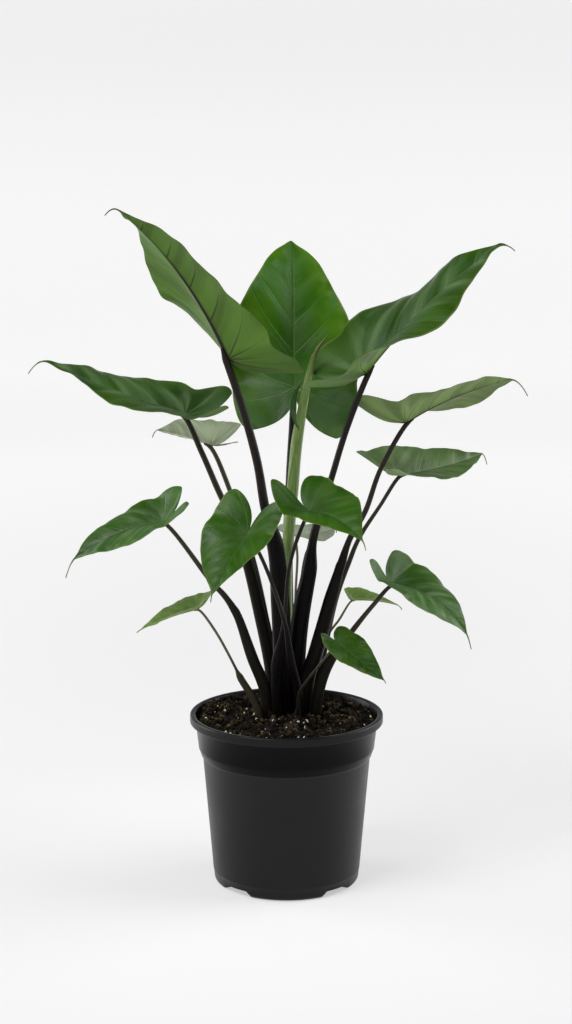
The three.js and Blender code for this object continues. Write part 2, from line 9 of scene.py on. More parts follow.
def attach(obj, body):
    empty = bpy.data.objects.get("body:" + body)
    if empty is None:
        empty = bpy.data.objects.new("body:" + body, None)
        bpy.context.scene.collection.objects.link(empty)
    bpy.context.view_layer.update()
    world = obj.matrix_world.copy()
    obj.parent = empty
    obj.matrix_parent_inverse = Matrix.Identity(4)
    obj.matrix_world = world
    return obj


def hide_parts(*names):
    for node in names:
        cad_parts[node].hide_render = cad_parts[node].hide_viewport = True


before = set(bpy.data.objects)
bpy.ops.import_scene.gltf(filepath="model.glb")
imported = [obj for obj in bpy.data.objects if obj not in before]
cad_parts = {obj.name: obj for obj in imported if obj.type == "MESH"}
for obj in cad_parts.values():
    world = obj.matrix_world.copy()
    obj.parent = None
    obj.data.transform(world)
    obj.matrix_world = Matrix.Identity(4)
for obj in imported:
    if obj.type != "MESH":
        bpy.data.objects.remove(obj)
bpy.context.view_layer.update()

bl_info = {
    "name": "Potted Black Stem Alocasia",
    "version": (1, 0, 0),
    "blender": (4, 5, 0),
    "location": "View3D > Sidebar > Alocasia",
    "description": "Builds an alocasia with black stems in a nursery pot, leaf by leaf",
    "category": "Object",
}

# The frame is in metres. The sizes here are in millimetres, as a grower would measure them.
MM = 0.001
BODY = "root"

# Pot: radii and heights where the wall changes slope
POT_RIM_RADIUS = 95
POT_HEIGHT = 170
POT_FOOT_RADIUS = 66.6
POT_WALL = 2
FOOT_HEIGHT = 8
FLOOR_THICKNESS = 2.2
WAIST = (72.4, 12)
SHOULDER = (82.6, 128)
BAND = (86.6, 136)
LIP = (89.4, 161)
FOOT_RING_INNER = 62
HUB_RADIUS = 24
NOTCH_COUNT = 4
NOTCH_HALF_ANGLE = 14
NOTCH_SLOPE_ANGLE = 2.6
NOTCH_HEIGHT = 6.5
# Radius of the corner at the foot, and what the wall steps out by at the shoulder
FOOT_CORNER = 5.2
SHOULDER_STEP = 0.55
# An edge stays sharp where the wall turns by more than this
SHARP_ANGLE = math.radians(50)

# Soil
SOIL_EDGE_Z = 162
SOIL_CROWN = 4.5
SOIL_COVER = 1.2
SOIL_RADIUS = 87.1
SOIL_FOOT_RADIUS = 68.2
SOIL_FLOOR_Z = 10.5
STEM_DEPTH_Z = 132
# Reliefs of the mix as height, bumps on a millimetre and layer of the noise
SOIL_RELIEFS = ((3.0, 0.045, 3.1), (3.2, 0.12, 7.7), (1.4, 0.3, 1.3))
# A heap against the left of the rim
HEAP_HEIGHT = 6.0
HEAP_PLACE = (-70, 24)
HEAP_SPREAD = (9, 14)
# No grain lies on a stem: they start to lie at the first distance from it and are thick from the second
STEM_CLEARANCE = (0.5, 2.5)

# Blades
BLADE_THICKNESS = 0.9
MARGIN_THICKNESS = 0.5
RIB_DEPTH = 1.5
# Share of its width that the rib under a blade loses by the tip, and how much it swells over RIB_DEPTH
RIB_TAPER = 0.82
RIB_SWELL = 1.15
# The groove over the midrib
GROOVE_DEPTH = 0.3
GROOVE_WIDTH = 0.9
GAP = 0.3

# A petiole meets the blade RIB_DEEP of its top radius below it, and ends inside the rib, RIB_REACH top
# radii ahead and at RIB_END of its top radius
RIB_REACH = 3.2
RIB_DEEP = 0.9
RIB_END = 0.5

# Half width of a blade ahead of its petiole, as (share of the length, share of the half width)
BLADE_OUTLINE = (
    (0, 0.97), (0.1, 1), (0.25, 0.965), (0.42, 0.85), (0.57, 0.69),
    (0.7, 0.5), (0.81, 0.31), (0.9, 0.15), (0.96, 0.05), (1, 0),
)
# The crown leaf is fuller towards its tip
FULL_OUTLINE = (
    (0, 0.97), (0.1, 1), (0.25, 0.965), (0.42, 0.86), (0.57, 0.725),
    (0.7, 0.56), (0.81, 0.42), (0.9, 0.26), (0.96, 0.1), (1, 0),
)
THREAD_WIDTH = 0.022
LOBE_SPREAD = 0.68
LOBE_CURVE = 3
LOBE_ROUNDING = 0.55
SINUS_START = 0.04
SINUS_CURVE = 2.2
SINUS_ROUNDING = 0.6
LOBE_LIFT_CURVE = 1.5
TIP_FOLD = 0.6
CAMBER = 0.04
DRIP_BEND = 1.4
# Rows of a fine blade crowd towards its tip and columns towards its midrib; the last column is its margin
TIP_ROW_SPACING = 1.25
COLUMN_SPACING = 1.3
MARGIN_COLUMN = 0.985

# Side veins leave the midrib every VEIN_SPACING of the length and bend forward; behind the petiole
# they fan out from it instead
VEIN_SPACING = 0.19
VEIN_SLOPE = 0.84
VEIN_BEND = 0.85
FAN_FIRST = math.radians(88)
FAN_STEP = math.radians(36)
FAN_BEND = 0.55
FAN_FROM = math.radians(72)

# A blade swells between its veins, and its margin ripples as (turns in radians, height), all in shares of
# the blade's length
QUILT_DEPTH = 0.0055
MARGIN_RIPPLES = ((21, 0.0045), (34, 0.003), (55, 0.0018))

# The leaves. A blade runs from at, where its petiole meets it, to its tip.
# halves: flat widths of its left and right half
# roll, twist: turn about its line at the petiole, and what the tip turns more, in degrees
# fold, lobe_fold, rise: how far a half folds up ahead and in its lobe, and how far the lobe lifts, in degrees
# lobe, arch, bow: length of the lobes, and how far the midrib bends up and sideways, as shares of the length
# tail, drip: length of the drip tip and how far it hangs, as shares of the length
# wave, phase, waves: height of a half's waves as a share of its width, their start in degrees, their number
# rib, look: depth of the midrib below the blade, and its material
# top, stem: radius of the petiole at the blade, and its route from the soil up as x, y, z, radius
# outline: for a blade that BLADE_OUTLINE doesn't fit
LEAVES = [
    dict(
        name="crown", at=(8, 49, 487), tip=(4, 115, 634), halves=(74, 64),
        roll=10, twist=12, fold=(16, 20), lobe_fold=(20, -10), rise=(-5, -5), lobe=0.3,
        arch=0.07, bow=-0.02, wave=(0.12, 0.06), phase=(110, -20),
        tail=0.06, drip=0.11, waves=1.6, rib=RIB_DEPTH, top=3.2, look="bright", outline=FULL_OUTLINE,
        stem=[(-2, 48, 165, 7.8), (0, 47, 240, 7.2), (1, 46, 320, 5.4), (3, 47, 399, 3.6),
              (6, 49, 453, 3.4)],
    ),
    dict(
        name="upper_left", at=(-54, -59, 527), tip=(-160, -146, 677), halves=(46, 77),
        roll=2, twist=0, fold=(20, 18), lobe_fold=(32, 48), rise=(24, 16), lobe=0.29,
        arch=0.08, bow=0.02, wave=(-0.16, -0.16), phase=(-85, 295),
        tail=0.07, drip=0.07, waves=1.2, rib=RIB_DEPTH, top=3.4, look="deep",
        stem=[(-2.5, 6, 165, 8.6), (-4, 1, 225, 9), (-6, -6, 280, 9.2), (-10, -13, 336, 8.4),
              (-20, -23, 376, 4.6), (-28, -34, 426, 4.1), (-42, -48, 481, 3.8)],
    ),
    dict(
        name="upper_right", at=(75, -34, 511), tip=(211, -54, 641), halves=(75, 74),
        roll=14, twist=20, fold=(6, 14), lobe_fold=(25, 42), rise=(10, 12), lobe=0.24,
        arch=0.04, bow=-0.01, wave=(0.26, 0.22), phase=(80, 60),
        tail=0.08, drip=0.08, waves=1.1, rib=RIB_DEPTH, top=2.8, look="deep",
        stem=[(10, 20, 165, 8.6), (10, 15, 221, 8.9), (15, 8, 272, 8.6), (22, 1, 310, 7.4),
              (26, -3, 345, 4.2), (43, -15, 406, 3.1), (57, -24, 455, 3)],
    ),
    dict(
        name="mid_left", at=(-101, 75, 456), tip=(-256, 71, 518), halves=(51, 52),
        roll=-19, twist=4, fold=(16, 2), lobe_fold=(54, 34), rise=(12, 12), lobe=0.22,
        arch=0, bow=-0.05, wave=(0.13, -0.08), phase=(55, -135),
        tail=0.1, drip=0.13, waves=1.4, rib=RIB_DEPTH, top=2.6, look="deep",
        stem=[(-11, 22, 165, 7.6), (-14, 24, 205, 7.4), (-24, 31, 255, 7), (-40, 43, 319, 6.2),
              (-51, 49, 350, 3.6), (-65, 56, 376, 3.1), (-84, 66, 418, 2.9)],
    ),
    dict(
        name="back_left", at=(-76, 104, 420), tip=(-136, 111, 435), halves=(26, 20),
        roll=18, twist=20, fold=(52, 8), lobe_fold=(52, 12), rise=(38, 22), lobe=0.39,
        arch=0.05, bow=0.01, wave=(-0.12, -0.02), phase=(-70, 5),
        tail=0.06, drip=0.13, waves=1.4, rib=0.8, top=2.2, look="pale",
        stem=[(-15, 37, 165, 6), (-18, 46, 220, 5.4), (-30, 66, 290, 4), (-58, 92, 378, 2.5)],
    ),
    dict(
        name="mid_right", at=(114, -13, 461), tip=(230, -13, 504), halves=(55, 36),
        roll=-20, twist=-20, fold=(6, 12), lobe_fold=(36, 38), rise=(30, 26), lobe=0.31,
        arch=0.05, bow=0.02, wave=(0.13, 0.2), phase=(40, 110),
        tail=0.1, drip=0.15, waves=1, rib=RIB_DEPTH, top=2.3, look="grey",
        stem=[(17.5, 4, 165, 7.4), (21, 2, 205, 7.4), (28, 0, 228, 7.2), (42, -2, 280, 6.6),
              (52, -5, 316, 4.4), (61, -7, 345, 3), (76, -9, 373, 2.6), (90, -12, 414, 2.4)],
    ),
    dict(
        name="inner_right", at=(111, 31, 402), tip=(203, 102, 414), halves=(38, 37),
        roll=16, twist=4, fold=(20, 16), lobe_fold=(14, 30), rise=(26, 20), lobe=0.31,
        arch=0, bow=0.05, wave=(-0.06, 0.08), phase=(-125, 105),
        tail=0.06, drip=0.12, waves=1.4, rib=1, top=1.9, look="soft",
        stem=[(27, 20, 165, 5.8), (33, 20, 215, 5.2), (50, 22, 286, 3.2), (60, 24, 312, 2.5),
              (71, 26, 339, 2.2), (92, 28, 372, 1.9)],
    ),
    dict(
        name="front_left", at=(-37, -66, 362), tip=(-70, -116, 312), halves=(30, 40),
        roll=-10, twist=26, fold=(12, 16), lobe_fold=(6, 18), rise=(14, 8), lobe=0.47,
        arch=0.03, bow=-0.01, wave=(-0.01, 0.03), phase=(0, 0),
        tail=0.03, drip=0.06, waves=1.7, rib=1, top=1.7, look="front",
        stem=[(13, -10, 165, 4.4), (11, -20, 197, 4.3), (4, -33, 233, 3.8), (-1, -43, 268, 2.3),
              (-12, -50, 306, 1.9), (-26, -57, 342, 1.8)],
    ),
    dict(
        name="front_right", at=(21, -69, 384), tip=(72, -139, 366), halves=(36, 30),
        roll=8, twist=4, fold=(32, 6), lobe_fold=(22, 20), rise=(18, 36), lobe=0.37,
        arch=0.09, bow=-0.02, wave=(-0.1, 0.04), phase=(-30, 60),
        tail=0.05, drip=0.06, waves=1.4, rib=1, top=1.8, look="front",
        stem=[(-8.5, -9, 165, 5.4), (-10, -17, 223, 4.8), (-4, -24, 255, 2.7), (-1, -32, 283, 2),
              (2, -47, 322, 1.9), (10, -62, 356, 1.9)],
    ),
    dict(
        name="low_left", at=(-118, -29, 367), tip=(-211, -40, 326), halves=(46, 31),
        roll=-14, twist=-16, fold=(16, 14), lobe_fold=(16, 28), rise=(24, 16), lobe=0.29,
        arch=0.09, bow=0, wave=(0.07, -0.16), phase=(100, -90),
        tail=0.08, drip=0.12, waves=1.2, rib=1, top=2, look="side",
        stem=[(-19, 4, 165, 6.4), (-21, 2, 192, 6), (-33, -2, 224, 5.4), (-49, -10, 272, 3.8),
              (-60, -12, 290, 2.9), (-72, -15, 304, 2.5)],
    ),
    dict(
        name="small_left", at=(-86, -10, 277), tip=(-146, -10, 254), halves=(23, 25),
        roll=0, twist=-10, fold=(16, 20), lobe_fold=(20, 6), rise=(26, 24), lobe=0.31,
        arch=0.03, bow=0.01, wave=(-0.02, -0.03), phase=(40, -115),
        tail=0.07, drip=0.02, waves=1.6, rib=0.6, top=1.2, look="lime",
        stem=[(-26, -7, 165, 3.8), (-32, -7, 184, 3.6), (-45, -7, 206, 3.2), (-50, -7, 217, 1.3),
              (-70, -8, 255, 1.3)],
    ),
    dict(
        name="low_right", at=(102, -18, 303), tip=(176, -58, 256), halves=(36, 44),
        roll=2, twist=14, fold=(15, 14), lobe_fold=(26, 20), rise=(14, 32), lobe=0.23,
        arch=0.15, bow=0, wave=(0.2, -0.1), phase=(105, -95),
        tail=0.06, drip=0.08, waves=1, rib=1, top=1.9, look="side",
        stem=[(29, -6, 165, 5.8), (32, -8, 195, 5.5), (42, -11, 224, 5.2), (58, -15, 248, 2.8),
              (84, -20, 283, 2.2)],
    ),
    dict(
        name="small_right", at=(65, 50, 272), tip=(116, 56, 264), halves=(21, 19),
        roll=5, twist=-8, fold=(20, 18), lobe_fold=(10, 28), rise=(26, 24), lobe=0.13,
        arch=0.05, bow=0.01, wave=(0.01, -0.04), phase=(-30, -90),
        tail=0.08, drip=0.07, waves=1.7, rib=0.5, top=1, look="lime",
        stem=[(31, 32, 165, 2.4), (34, 37, 221, 1.5), (44, 42, 242, 1.2), (52, 45, 252, 1.2)],
    ),
    dict(
        name="front_small", at=(48, -74, 259), tip=(93, -106, 229), halves=(23, 19),
        roll=14, twist=6, fold=(8, 8), lobe_fold=(5, 30), rise=(0, 2), lobe=0.21,
        arch=0, bow=0.01, wave=(-0.05, -0.06), phase=(105, -75),
        tail=0.03, drip=0.04, waves=1.7, rib=0.5, top=1, look="dark",
        stem=[(12, -19, 165, 2.4), (12, -33, 197, 1.5), (19, -42, 212, 1.4), (31, -56, 232, 1.2),
              (40, -65, 246, 1.2)],
    ),
    dict(
        name="back_small", at=(11, 95, 330), tip=(52, 149, 327), halves=(15, 18),
        roll=26, twist=2, fold=(8, 12), lobe_fold=(32, 42), rise=(0, 0), lobe=0.4,
        arch=0.03, bow=0.08, wave=(-0.05, -0.09), phase=(-20, -60),
        tail=0.05, drip=0.09, waves=1.6, rib=0.5, top=1, look="faint",
        stem=[(12, 36, 165, 2.6), (10, 52, 220, 1.5), (9, 68, 269, 1.3), (11, 86, 307, 1.3)],
    ),
]

# The new leaf, still rolled, ends in a bent thread
NEW_LEAF_ROUTE = (
    (0, 33, STEM_DEPTH_Z, 4.6), (1, 31, 250, 4.4), (1, 28, 317, 4.6), (2, 25, 344, 5.9), (6, 18, 388, 5.6),
    (10, 11, 436, 5.6), (16, 4, 474, 4.6), (22, -3, 507, 3.4), (29, -7, 529, 1.8), (39, -9, 543, 0.6),
)
# Where it leaves the soil, as x, y, radius
NEW_LEAF_FOOT = (0, 32, 4.5)
# The free edge of the roll stands out by ROLL_OVERLAP of its radius and goes ROLL_TURNS times round it on the
# way up. It is at the angle ROLL_SEAM after the share ROLL_SEAM_SHARE of the way.
ROLL_OVERLAP = 0.13
ROLL_TURNS = 1.35
ROLL_SEAM = math.radians(250)
ROLL_SEAM_SHARE = 0.7
# Its freed margin, as x, y, z of the line where it leaves the roll and of its outer edge
MARGIN_ROOT = ((14, -5, 497), (9.5, -3, 484), (8.5, -1, 471), (9.5, 1, 458), (12, 3.5, 451))
MARGIN_EDGE = ((13.6, -6, 498), (5.6, -6, 486), (3.6, -5.3, 473), (6.6, -2.7, 460), (12.3, 3, 450))
FREE_MARGIN_BELLY = 1.6
FREE_MARGIN_THICKNESS = 0.6

# A sheath's shoulder starts SHOULDER_LENGTH under its end, and its black fades into the stalk above it
# over SHEATH_FADE
SHOULDER_LENGTH = 34
SHEATH_FADE = 45
# The seam is a groove in the side that looks up and in towards SEAM_AXIS, with a lip on each side. Depths
# are shares of the radius, and widths are in radians
SEAM_AXIS = (0, 18)
SEAM_RISE = 40.0
SEAM_DEPTH = 0.13
SEAM_WIDTH = 0.16
SEAM_LIP_SHARE = 0.35
SEAM_LIP_OFFSET = 0.38
SHOULDER_SWELL = 0.14
SHOULDER_WIDTH = 0.9

# Length that is one unit of the streaks along a stalk and along the new leaf
STALK_STREAK = 90
ROLL_STREAK = 60

# How far a stalk keeps the olive brown of a young one
YOUNG_STALKS = {
    "small_right": 1, "back_small": 0.5, "small_left": 0.7, "front_small": 0.25, "back_left": 0.3,
    "low_right": 0.15, "low_left": 0.18, "mid_left": 0.08, "mid_right": 0.06, "inner_right": 0.12,
}

# Old sheath tips at the foot of the stems, as x, y, height, lean in x, radius
OLD_SHEATHS = ((8, -25, 24, 5, 3.6), (3, -31, 13, -2, 3), (-13, -19, 14, -4, 3.2), (24, 27, 16, 5, 3.4))

# Grains of the mix: how one is stretched, how finely and unevenly it is cut, the range of its sizes, how far
# it tips over in radians, and how high its middle lies over the ground
GRAINS = (
    dict(name="peat_crumbs", look="crumb", density="crumb_density", stretch=(1, 0.85, 0.7),
         fineness=1, jitter=0.5, sizes=(1.2, 5.5), tilt=3.0, lift=0.4),
    dict(name="peat_clods", look="crumb", density="clod_density", stretch=(1.3, 1, 0.7),
         fineness=2, jitter=0.45, sizes=(5.0, 10.0), tilt=3.0, lift=0.2),
    dict(name="bark_chips", look="bark", density="bark_density", stretch=(1.5, 0.8, 0.5),
         fineness=1, jitter=0.4, sizes=(2.5, 7.5), tilt=1.4, lift=1.6),
    dict(name="peat_fibres", look="fibre", density="fibre_density", stretch=(4.5, 0.22, 0.2),
         fineness=1, jitter=0.5, sizes=(1.2, 2.4), tilt=0.5, lift=1.6),
    dict(name="perlite_grains", look="perlite", density="perlite_density", stretch=(1.2, 0.9, 0.8),
         fineness=1, jitter=0.35, sizes=(0.8, 4.2), tilt=3.0, lift=1.8),
)

# Looks of the blades, where they differ from the leaf settings and from leaf_material
LEAF_LOOKS = {
    "deep": dict(
        name="Deep green leaf", shade=0.72, vein=(0.11, 0.185, 0.075), sheen=0.7, shine=0.13,
        warmth=0.4, hub=0.3),
    "front": dict(
        name="Front green leaf", roughness=0.36, sheen=0.45, shine=0.18, warmth=0.3,
        relief_depth=0.0006, drip_colour=(0.11, 0.14, 0.05)),
    "side": dict(
        name="Side green leaf", upper=(0.025, 0.084, 0.005), vein=(0.12, 0.19, 0.09), roughness=0.36,
        sheen=0.75, shine=0.22, warmth=0.2, relief_depth=0.0006, drip_colour=(0.12, 0.15, 0.06)),
    "bright": dict(
        name="Bright green leaf", upper=(0.022, 0.088, 0.0025), vein=(0.085, 0.16, 0.045), sheen=0.3,
        shine=0.08, lobe_shine=0.42, warmth=0.85, hub=0.15, drip_colour=(0.1, 0.12, 0.02)),
    "dark": dict(
        name="Dark green leaf", upper=(0.013, 0.048, 0.0015), vein=(0.04, 0.1, 0.02), shine=0.15,
        warmth=0.9, drip_colour=(0.14, 0.16, 0.03)),
    "grey": dict(
        name="Greyish leaf", upper=(0.075, 0.14, 0.035), under=(0.15, 0.22, 0.075),
        vein=(0.13, 0.21, 0.08), roughness=0.45, dark_ribs=0.8, drip_colour=(0.11, 0.13, 0.06)),
    "soft": dict(
        name="Soft green leaf", upper=(0.06, 0.13, 0.025), under=(0.17, 0.28, 0.08),
        vein=(0.22, 0.3, 0.14), roughness=0.42, sheen=0.7, dark_ribs=0.35,
        drip_colour=(0.13, 0.13, 0.08)),
    # The pale back leaf's whitish under face is painted sheen
    "pale": dict(
        name="Pale back leaf", upper=(0.08, 0.16, 0.035), under=(0.4, 0.47, 0.31),
        vein=(0.17, 0.26, 0.1), roughness=0.45, dark_ribs=0.35),
    "faint": dict(
        name="Shaded back leaf", upper=(0.2, 0.235, 0.16), under=(0.22, 0.26, 0.17),
        vein=(0.26, 0.3, 0.22), roughness=0.5, dark_ribs=0.2, drip_colour=(0.16, 0.19, 0.12)),
    "lime": dict(
        name="Lime young leaf", upper=(0.13, 0.24, 0.035), under=(0.2, 0.32, 0.08),
        vein=(0.23, 0.3, 0.12), roughness=0.42, sheen=0.8, dark_ribs=0.3,
        drip_colour=(0.2, 0.2, 0.12)),
}
MARGIN_YELLOW = (0.13, 0.19, 0.04)
RIB_BLACK = (0.012, 0.008, 0.006)
DRY_TIP = (0.06, 0.035, 0.012)

# Stage, in metres: a flat floor that bends up into a backdrop, and the heights between which its glow fades
FLOOR_RADIUS = 4.6
BACKDROP_TOP = 3.4
BACKDROP_BEND = 2.4
FLOOR_STEPS = 96
GLOW_FADE = (1.5, 2.1)
# Lamps: name, place, size and the setting that holds their power
LAMPS = (
    ("Key light", (-1.3, -1.2, 2.4), (1.4, 1.4), "key"),
    ("Top light", (1.5, -0.2, 2.3), (0.9, 1.5), "top"),
    ("Left fill", (-2.0, 0.7, 0.8), (1.3, 1.8), "fill"),
    ("Right fill", (2.0, 0.7, 0.8), (1.3, 1.8), "fill"),
)
PLANT_MIDDLE = (0, 0, 0.4)
LENS_SHIFT = -0.0005
VIEW_DEPTH = 60


class PotSettings(bpy.types.PropertyGroup):
    """Sizes and finish of the pot"""

    segments: IntProperty(
        name="Segments", description="Steps round the pot", default=240, min=48, max=480)
    colour: FloatVectorProperty(
        name="Plastic", description="Colour of the moulded plastic", subtype="COLOR",
        default=(0.0042, 0.0043, 0.0045), min=0, max=1)
    roughness: FloatProperty(
        name="Roughness", description="Roughness of the plastic", subtype="FACTOR",
        default=0.34, min=0, max=1)


class SoilSettings(bpy.types.PropertyGroup):
    """Look of the potting mix"""

    colour: FloatVectorProperty(
        name="Peat", description="Colour of the peat", subtype="COLOR",
        default=(0.004, 0.0022, 0.0012), min=0, max=1)
    crumb_density: FloatProperty(
        name="Crumb Density", description="Peat crumbs on a square metre", default=90000, min=0)
    clod_density: FloatProperty(
        name="Clod Density", description="Larger clods on a square metre", default=9000, min=0)
    bark_density: FloatProperty(
        name="Bark Density", description="Bark chips on a square metre", default=13000, min=0)
    perlite_density: FloatProperty(
        name="Perlite Density", description="Perlite grains on a square metre", default=5200, min=0)
    fibre_density: FloatProperty(
        name="Fibre Density", description="Peat fibres on a square metre", default=5000, min=0)
    seed: IntProperty(name="Seed", description="Start of the random draws", default=4)


class LeafSettings(bpy.types.PropertyGroup):
    """Colours and gloss of the blades"""

    upper: FloatVectorProperty(
        name="Upper Face", description="Colour of the upper face", subtype="COLOR",
        default=(0.021, 0.076, 0.002), min=0, max=1)
    under: FloatVectorProperty(
        name="Under Face", description="Colour of the under face", subtype="COLOR",
        default=(0.066, 0.138, 0.016), min=0, max=1)
    vein: FloatVectorProperty(
        name="Veins", description="Colour of the veins on the upper face", subtype="COLOR",
        default=(0.08, 0.155, 0.05), min=0, max=1)
    roughness: FloatProperty(
        name="Roughness", description="Roughness of the upper face", subtype="FACTOR",
        default=0.31, min=0, max=1)


class StemSettings(bpy.types.PropertyGroup):
    """Colours of the petioles"""

    stalk: FloatVectorProperty(
        name="Stalk", description="Colour of the stalk above its sheath", subtype="COLOR",
        default=(0.0085, 0.0058, 0.0048), min=0, max=1)
    sheath: FloatVectorProperty(
        name="Sheath", description="Colour of the sheath", subtype="COLOR",
        default=(0.0022, 0.0018, 0.0019), min=0, max=1)
    young: FloatVectorProperty(
        name="Young Stalk", description="Colour of the palest, youngest stalks", subtype="COLOR",
        default=(0.16, 0.145, 0.085), min=0, max=1)
    sides: IntProperty(name="Sides", description="Steps round a stem", default=48, min=12, max=96)


class StageSettings(bpy.types.PropertyGroup):
    """Floor, light and camera"""

    floor: FloatVectorProperty(
        name="Floor", description="Colour of the floor", subtype="COLOR",
        default=(0.38, 0.38, 0.382), min=0, max=1)
    glow: FloatProperty(
        name="Backdrop Glow", description="Light that the floor and backdrop give off by themselves",
        default=0.475, min=0)
    sky: FloatProperty(name="Sky", description="Strength of the even light", default=0.2, min=0)
    key: FloatProperty(
        name="Key Light", description="Power of the large light above the front left",
        subtype="POWER", unit="POWER", default=52, min=0)
    top: FloatProperty(
        name="Top Light", description="Power of the light above the right",
        subtype="POWER", unit="POWER", default=24, min=0)
    fill: FloatProperty(
        name="Fill Light", description="Power of the lights on both sides",
        subtype="POWER", unit="POWER", default=30, min=0)
    distance: FloatProperty(
        name="Camera Distance", description="Distance in front of the pot's axis",
        subtype="DISTANCE", unit="LENGTH", default=2.1, min=0.5)
    height: FloatProperty(
        name="Camera Height", description="Height above the floor",
        subtype="DISTANCE", unit="LENGTH", default=0.761, min=0)
    pitch: FloatProperty(
        name="Camera Pitch", description="Angle that the camera looks down by",
        subtype="ANGLE", unit="ROTATION", default=math.radians(10.53))
    lens: FloatProperty(name="Lens", description="Focal length", default=77.5, min=20)


# Small mesh and curve tools

def smoothstep(low, high, x):
    t = np.clip((np.asarray(x, float) - low) / (high - low), 0, 1)
    return t * t * (3 - 2 * t)


def unit(vector):
    vector = np.asarray(vector, float)
    return vector / np.linalg.norm(vector, axis=-1, keepdims=True)


def full_turn(steps):
    """Evenly spaced angles round a circle"""
    return np.arange(steps) / steps * math.pi * 2


def mesh_piece(name, points, faces, material, attributes=None):
    """New smooth object at the origin from points in millimetres"""
    mesh = bpy.data.meshes.new(name)
    mesh.from_pydata((np.asarray(points) * MM).tolist(), [], faces)
    mesh.materials.append(material)
    for key, values in (attributes or {}).items():
        values = np.asarray(values, np.float32)
        kind, field = ("FLOAT_VECTOR", "vector") if values.ndim == 2 else ("FLOAT", "value")
        mesh.attributes.new(key, kind, "POINT").data.foreach_set(field, values.ravel())
    mesh.shade_smooth()
    mesh.update()
    piece = bpy.data.objects.new(name, mesh)
    bpy.context.collection.objects.link(piece)
    return piece


def hand_over(piece, slot, *nodes):
    """The piece moves with the plant and stands for its CAD nodes, which are hidden; the slot is not used"""
    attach(piece, BODY)
    if nodes:
        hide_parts(*nodes)


def strip_faces(rows, columns, closed=False, start=0):
    """Quads between rows of points laid out one after another"""
    faces = []
    for i in range(rows - 1):
        for j in range(columns if closed else columns - 1):
            a = start + i * columns + j
            b = start + i * columns + (j + 1) % columns
            faces.append((a, b, b + columns, a + columns))
    return faces


def through(points, x):
    """Smooth curve through (x, y) points"""
    xs, ys = np.array(points, float).T
    slopes = np.empty_like(ys)
    slopes[1:-1] = (ys[2:] - ys[:-2]) / (xs[2:] - xs[:-2])
    slopes[0] = (ys[1] - ys[0]) / (xs[1] - xs[0])
    slopes[-1] = (ys[-1] - ys[-2]) / (xs[-1] - xs[-2])
    i = np.clip(np.searchsorted(xs, x, side="right") - 1, 0, len(xs) - 2)
    h = xs[i + 1] - xs[i]
    t = (x - xs[i]) / h
    return ((2 * t**3 - 3 * t**2 + 1) * ys[i] + (t**3 - 2 * t**2 + t) * h * slopes[i]
            + (3 * t**2 - 2 * t**3) * ys[i + 1] + (t**3 - t**2) * h * slopes[i + 1])


def centripetal(route, step):
    """Points about a step apart on a smooth curve through the route, with their radii"""
    route = np.array(route, float)
    places, radii = route[:, :3], route[:, 3]
    before = 2 * places[0] - places[1]
    after = 2 * places[-1] - places[-2]
    padded = np.vstack([before, places, after])
    spots, widths = [], []
    for k in range(len(route) - 1):
        p0, p1, p2, p3 = padded[k:k + 4]
        d0, d1, d2 = (math.sqrt(np.linalg.norm(b - a)) for a, b in ((p0, p1), (p1, p2), (p2, p3)))
        m1 = ((p1 - p0) / d0 - (p2 - p0) / (d0 + d1) + (p2 - p1) / d1) * d1
        m2 = ((p2 - p1) / d1 - (p3 - p1) / (d1 + d2) + (p3 - p2) / d2) * d1
        count = max(2, round(np.linalg.norm(p2 - p1) / step))
        for w in np.arange(count) / count:
            spots.append(p1 + m1 * w + (3 * (p2 - p1) - 2 * m1 - m2) * w**2
                         + (2 * (p1 - p2) + m1 + m2) * w**3)
            widths.append(radii[k] + (radii[k + 1] - radii[k]) * w * w * (3 - 2 * w))
    return np.array([*spots, places[-1]]), np.array([*widths, radii[-1]])


def frames_along(spots):
    """Tangents and a pair of unturned cross directions along a curve"""
    tangents = unit(np.gradient(spots, axis=0))
    across = np.empty_like(tangents)
    direction = np.array([1.0, 0, 0])
    for i, tangent in enumerate(tangents):
        direction = unit(direction - tangent * (direction @ tangent))
        across[i] = direction
    return tangents, across, np.cross(tangents, across)


def rings_about(spots, radii, factor, across, beside, angles):
    """Rings round a curve, their radii changed by a factor at each point, and their directions"""
    ring = across[:, None] * np.cos(angles)[None, :, None] + beside[:, None] * np.sin(angles)[None, :, None]
    return spots[:, None] + ring * (radii[:, None] * factor)[..., None], ring


def run_along(spots):
    """Distance along a curve to each of its points"""
    return np.concatenate([[0], np.cumsum(np.linalg.norm(np.diff(spots, axis=0), axis=1))])


def round_places(run, angles, streak):
    """Where the points of a capped tube lie for its streaks: round a unit circle, and run / streak along"""
    grid = np.ones((len(run), len(angles)))
    place = np.stack([np.cos(angles) * grid, np.sin(angles) * grid, run[:, None] * grid / streak], -1)
    return np.vstack([place.reshape(-1, 3), (0, 0, 0), (0, 0, run[-1] / streak)])


def capped_tube(rings):
    """Points and faces of a closed tube from a stack of rings of points"""
    rows, sides, _ = rings.shape
    points = [*rings.reshape(-1, 3), rings[0].mean(0), rings[-1].mean(0)]
    faces = strip_faces(rows, sides, closed=True)
    low, high = rows * sides, rows * sides + 1
    last = (rows - 1) * sides
    for j in range(sides):
        k = (j + 1) % sides
        faces.append((low, k, j))
        faces.append((high, last + j, last + k))
    return np.array(points), faces


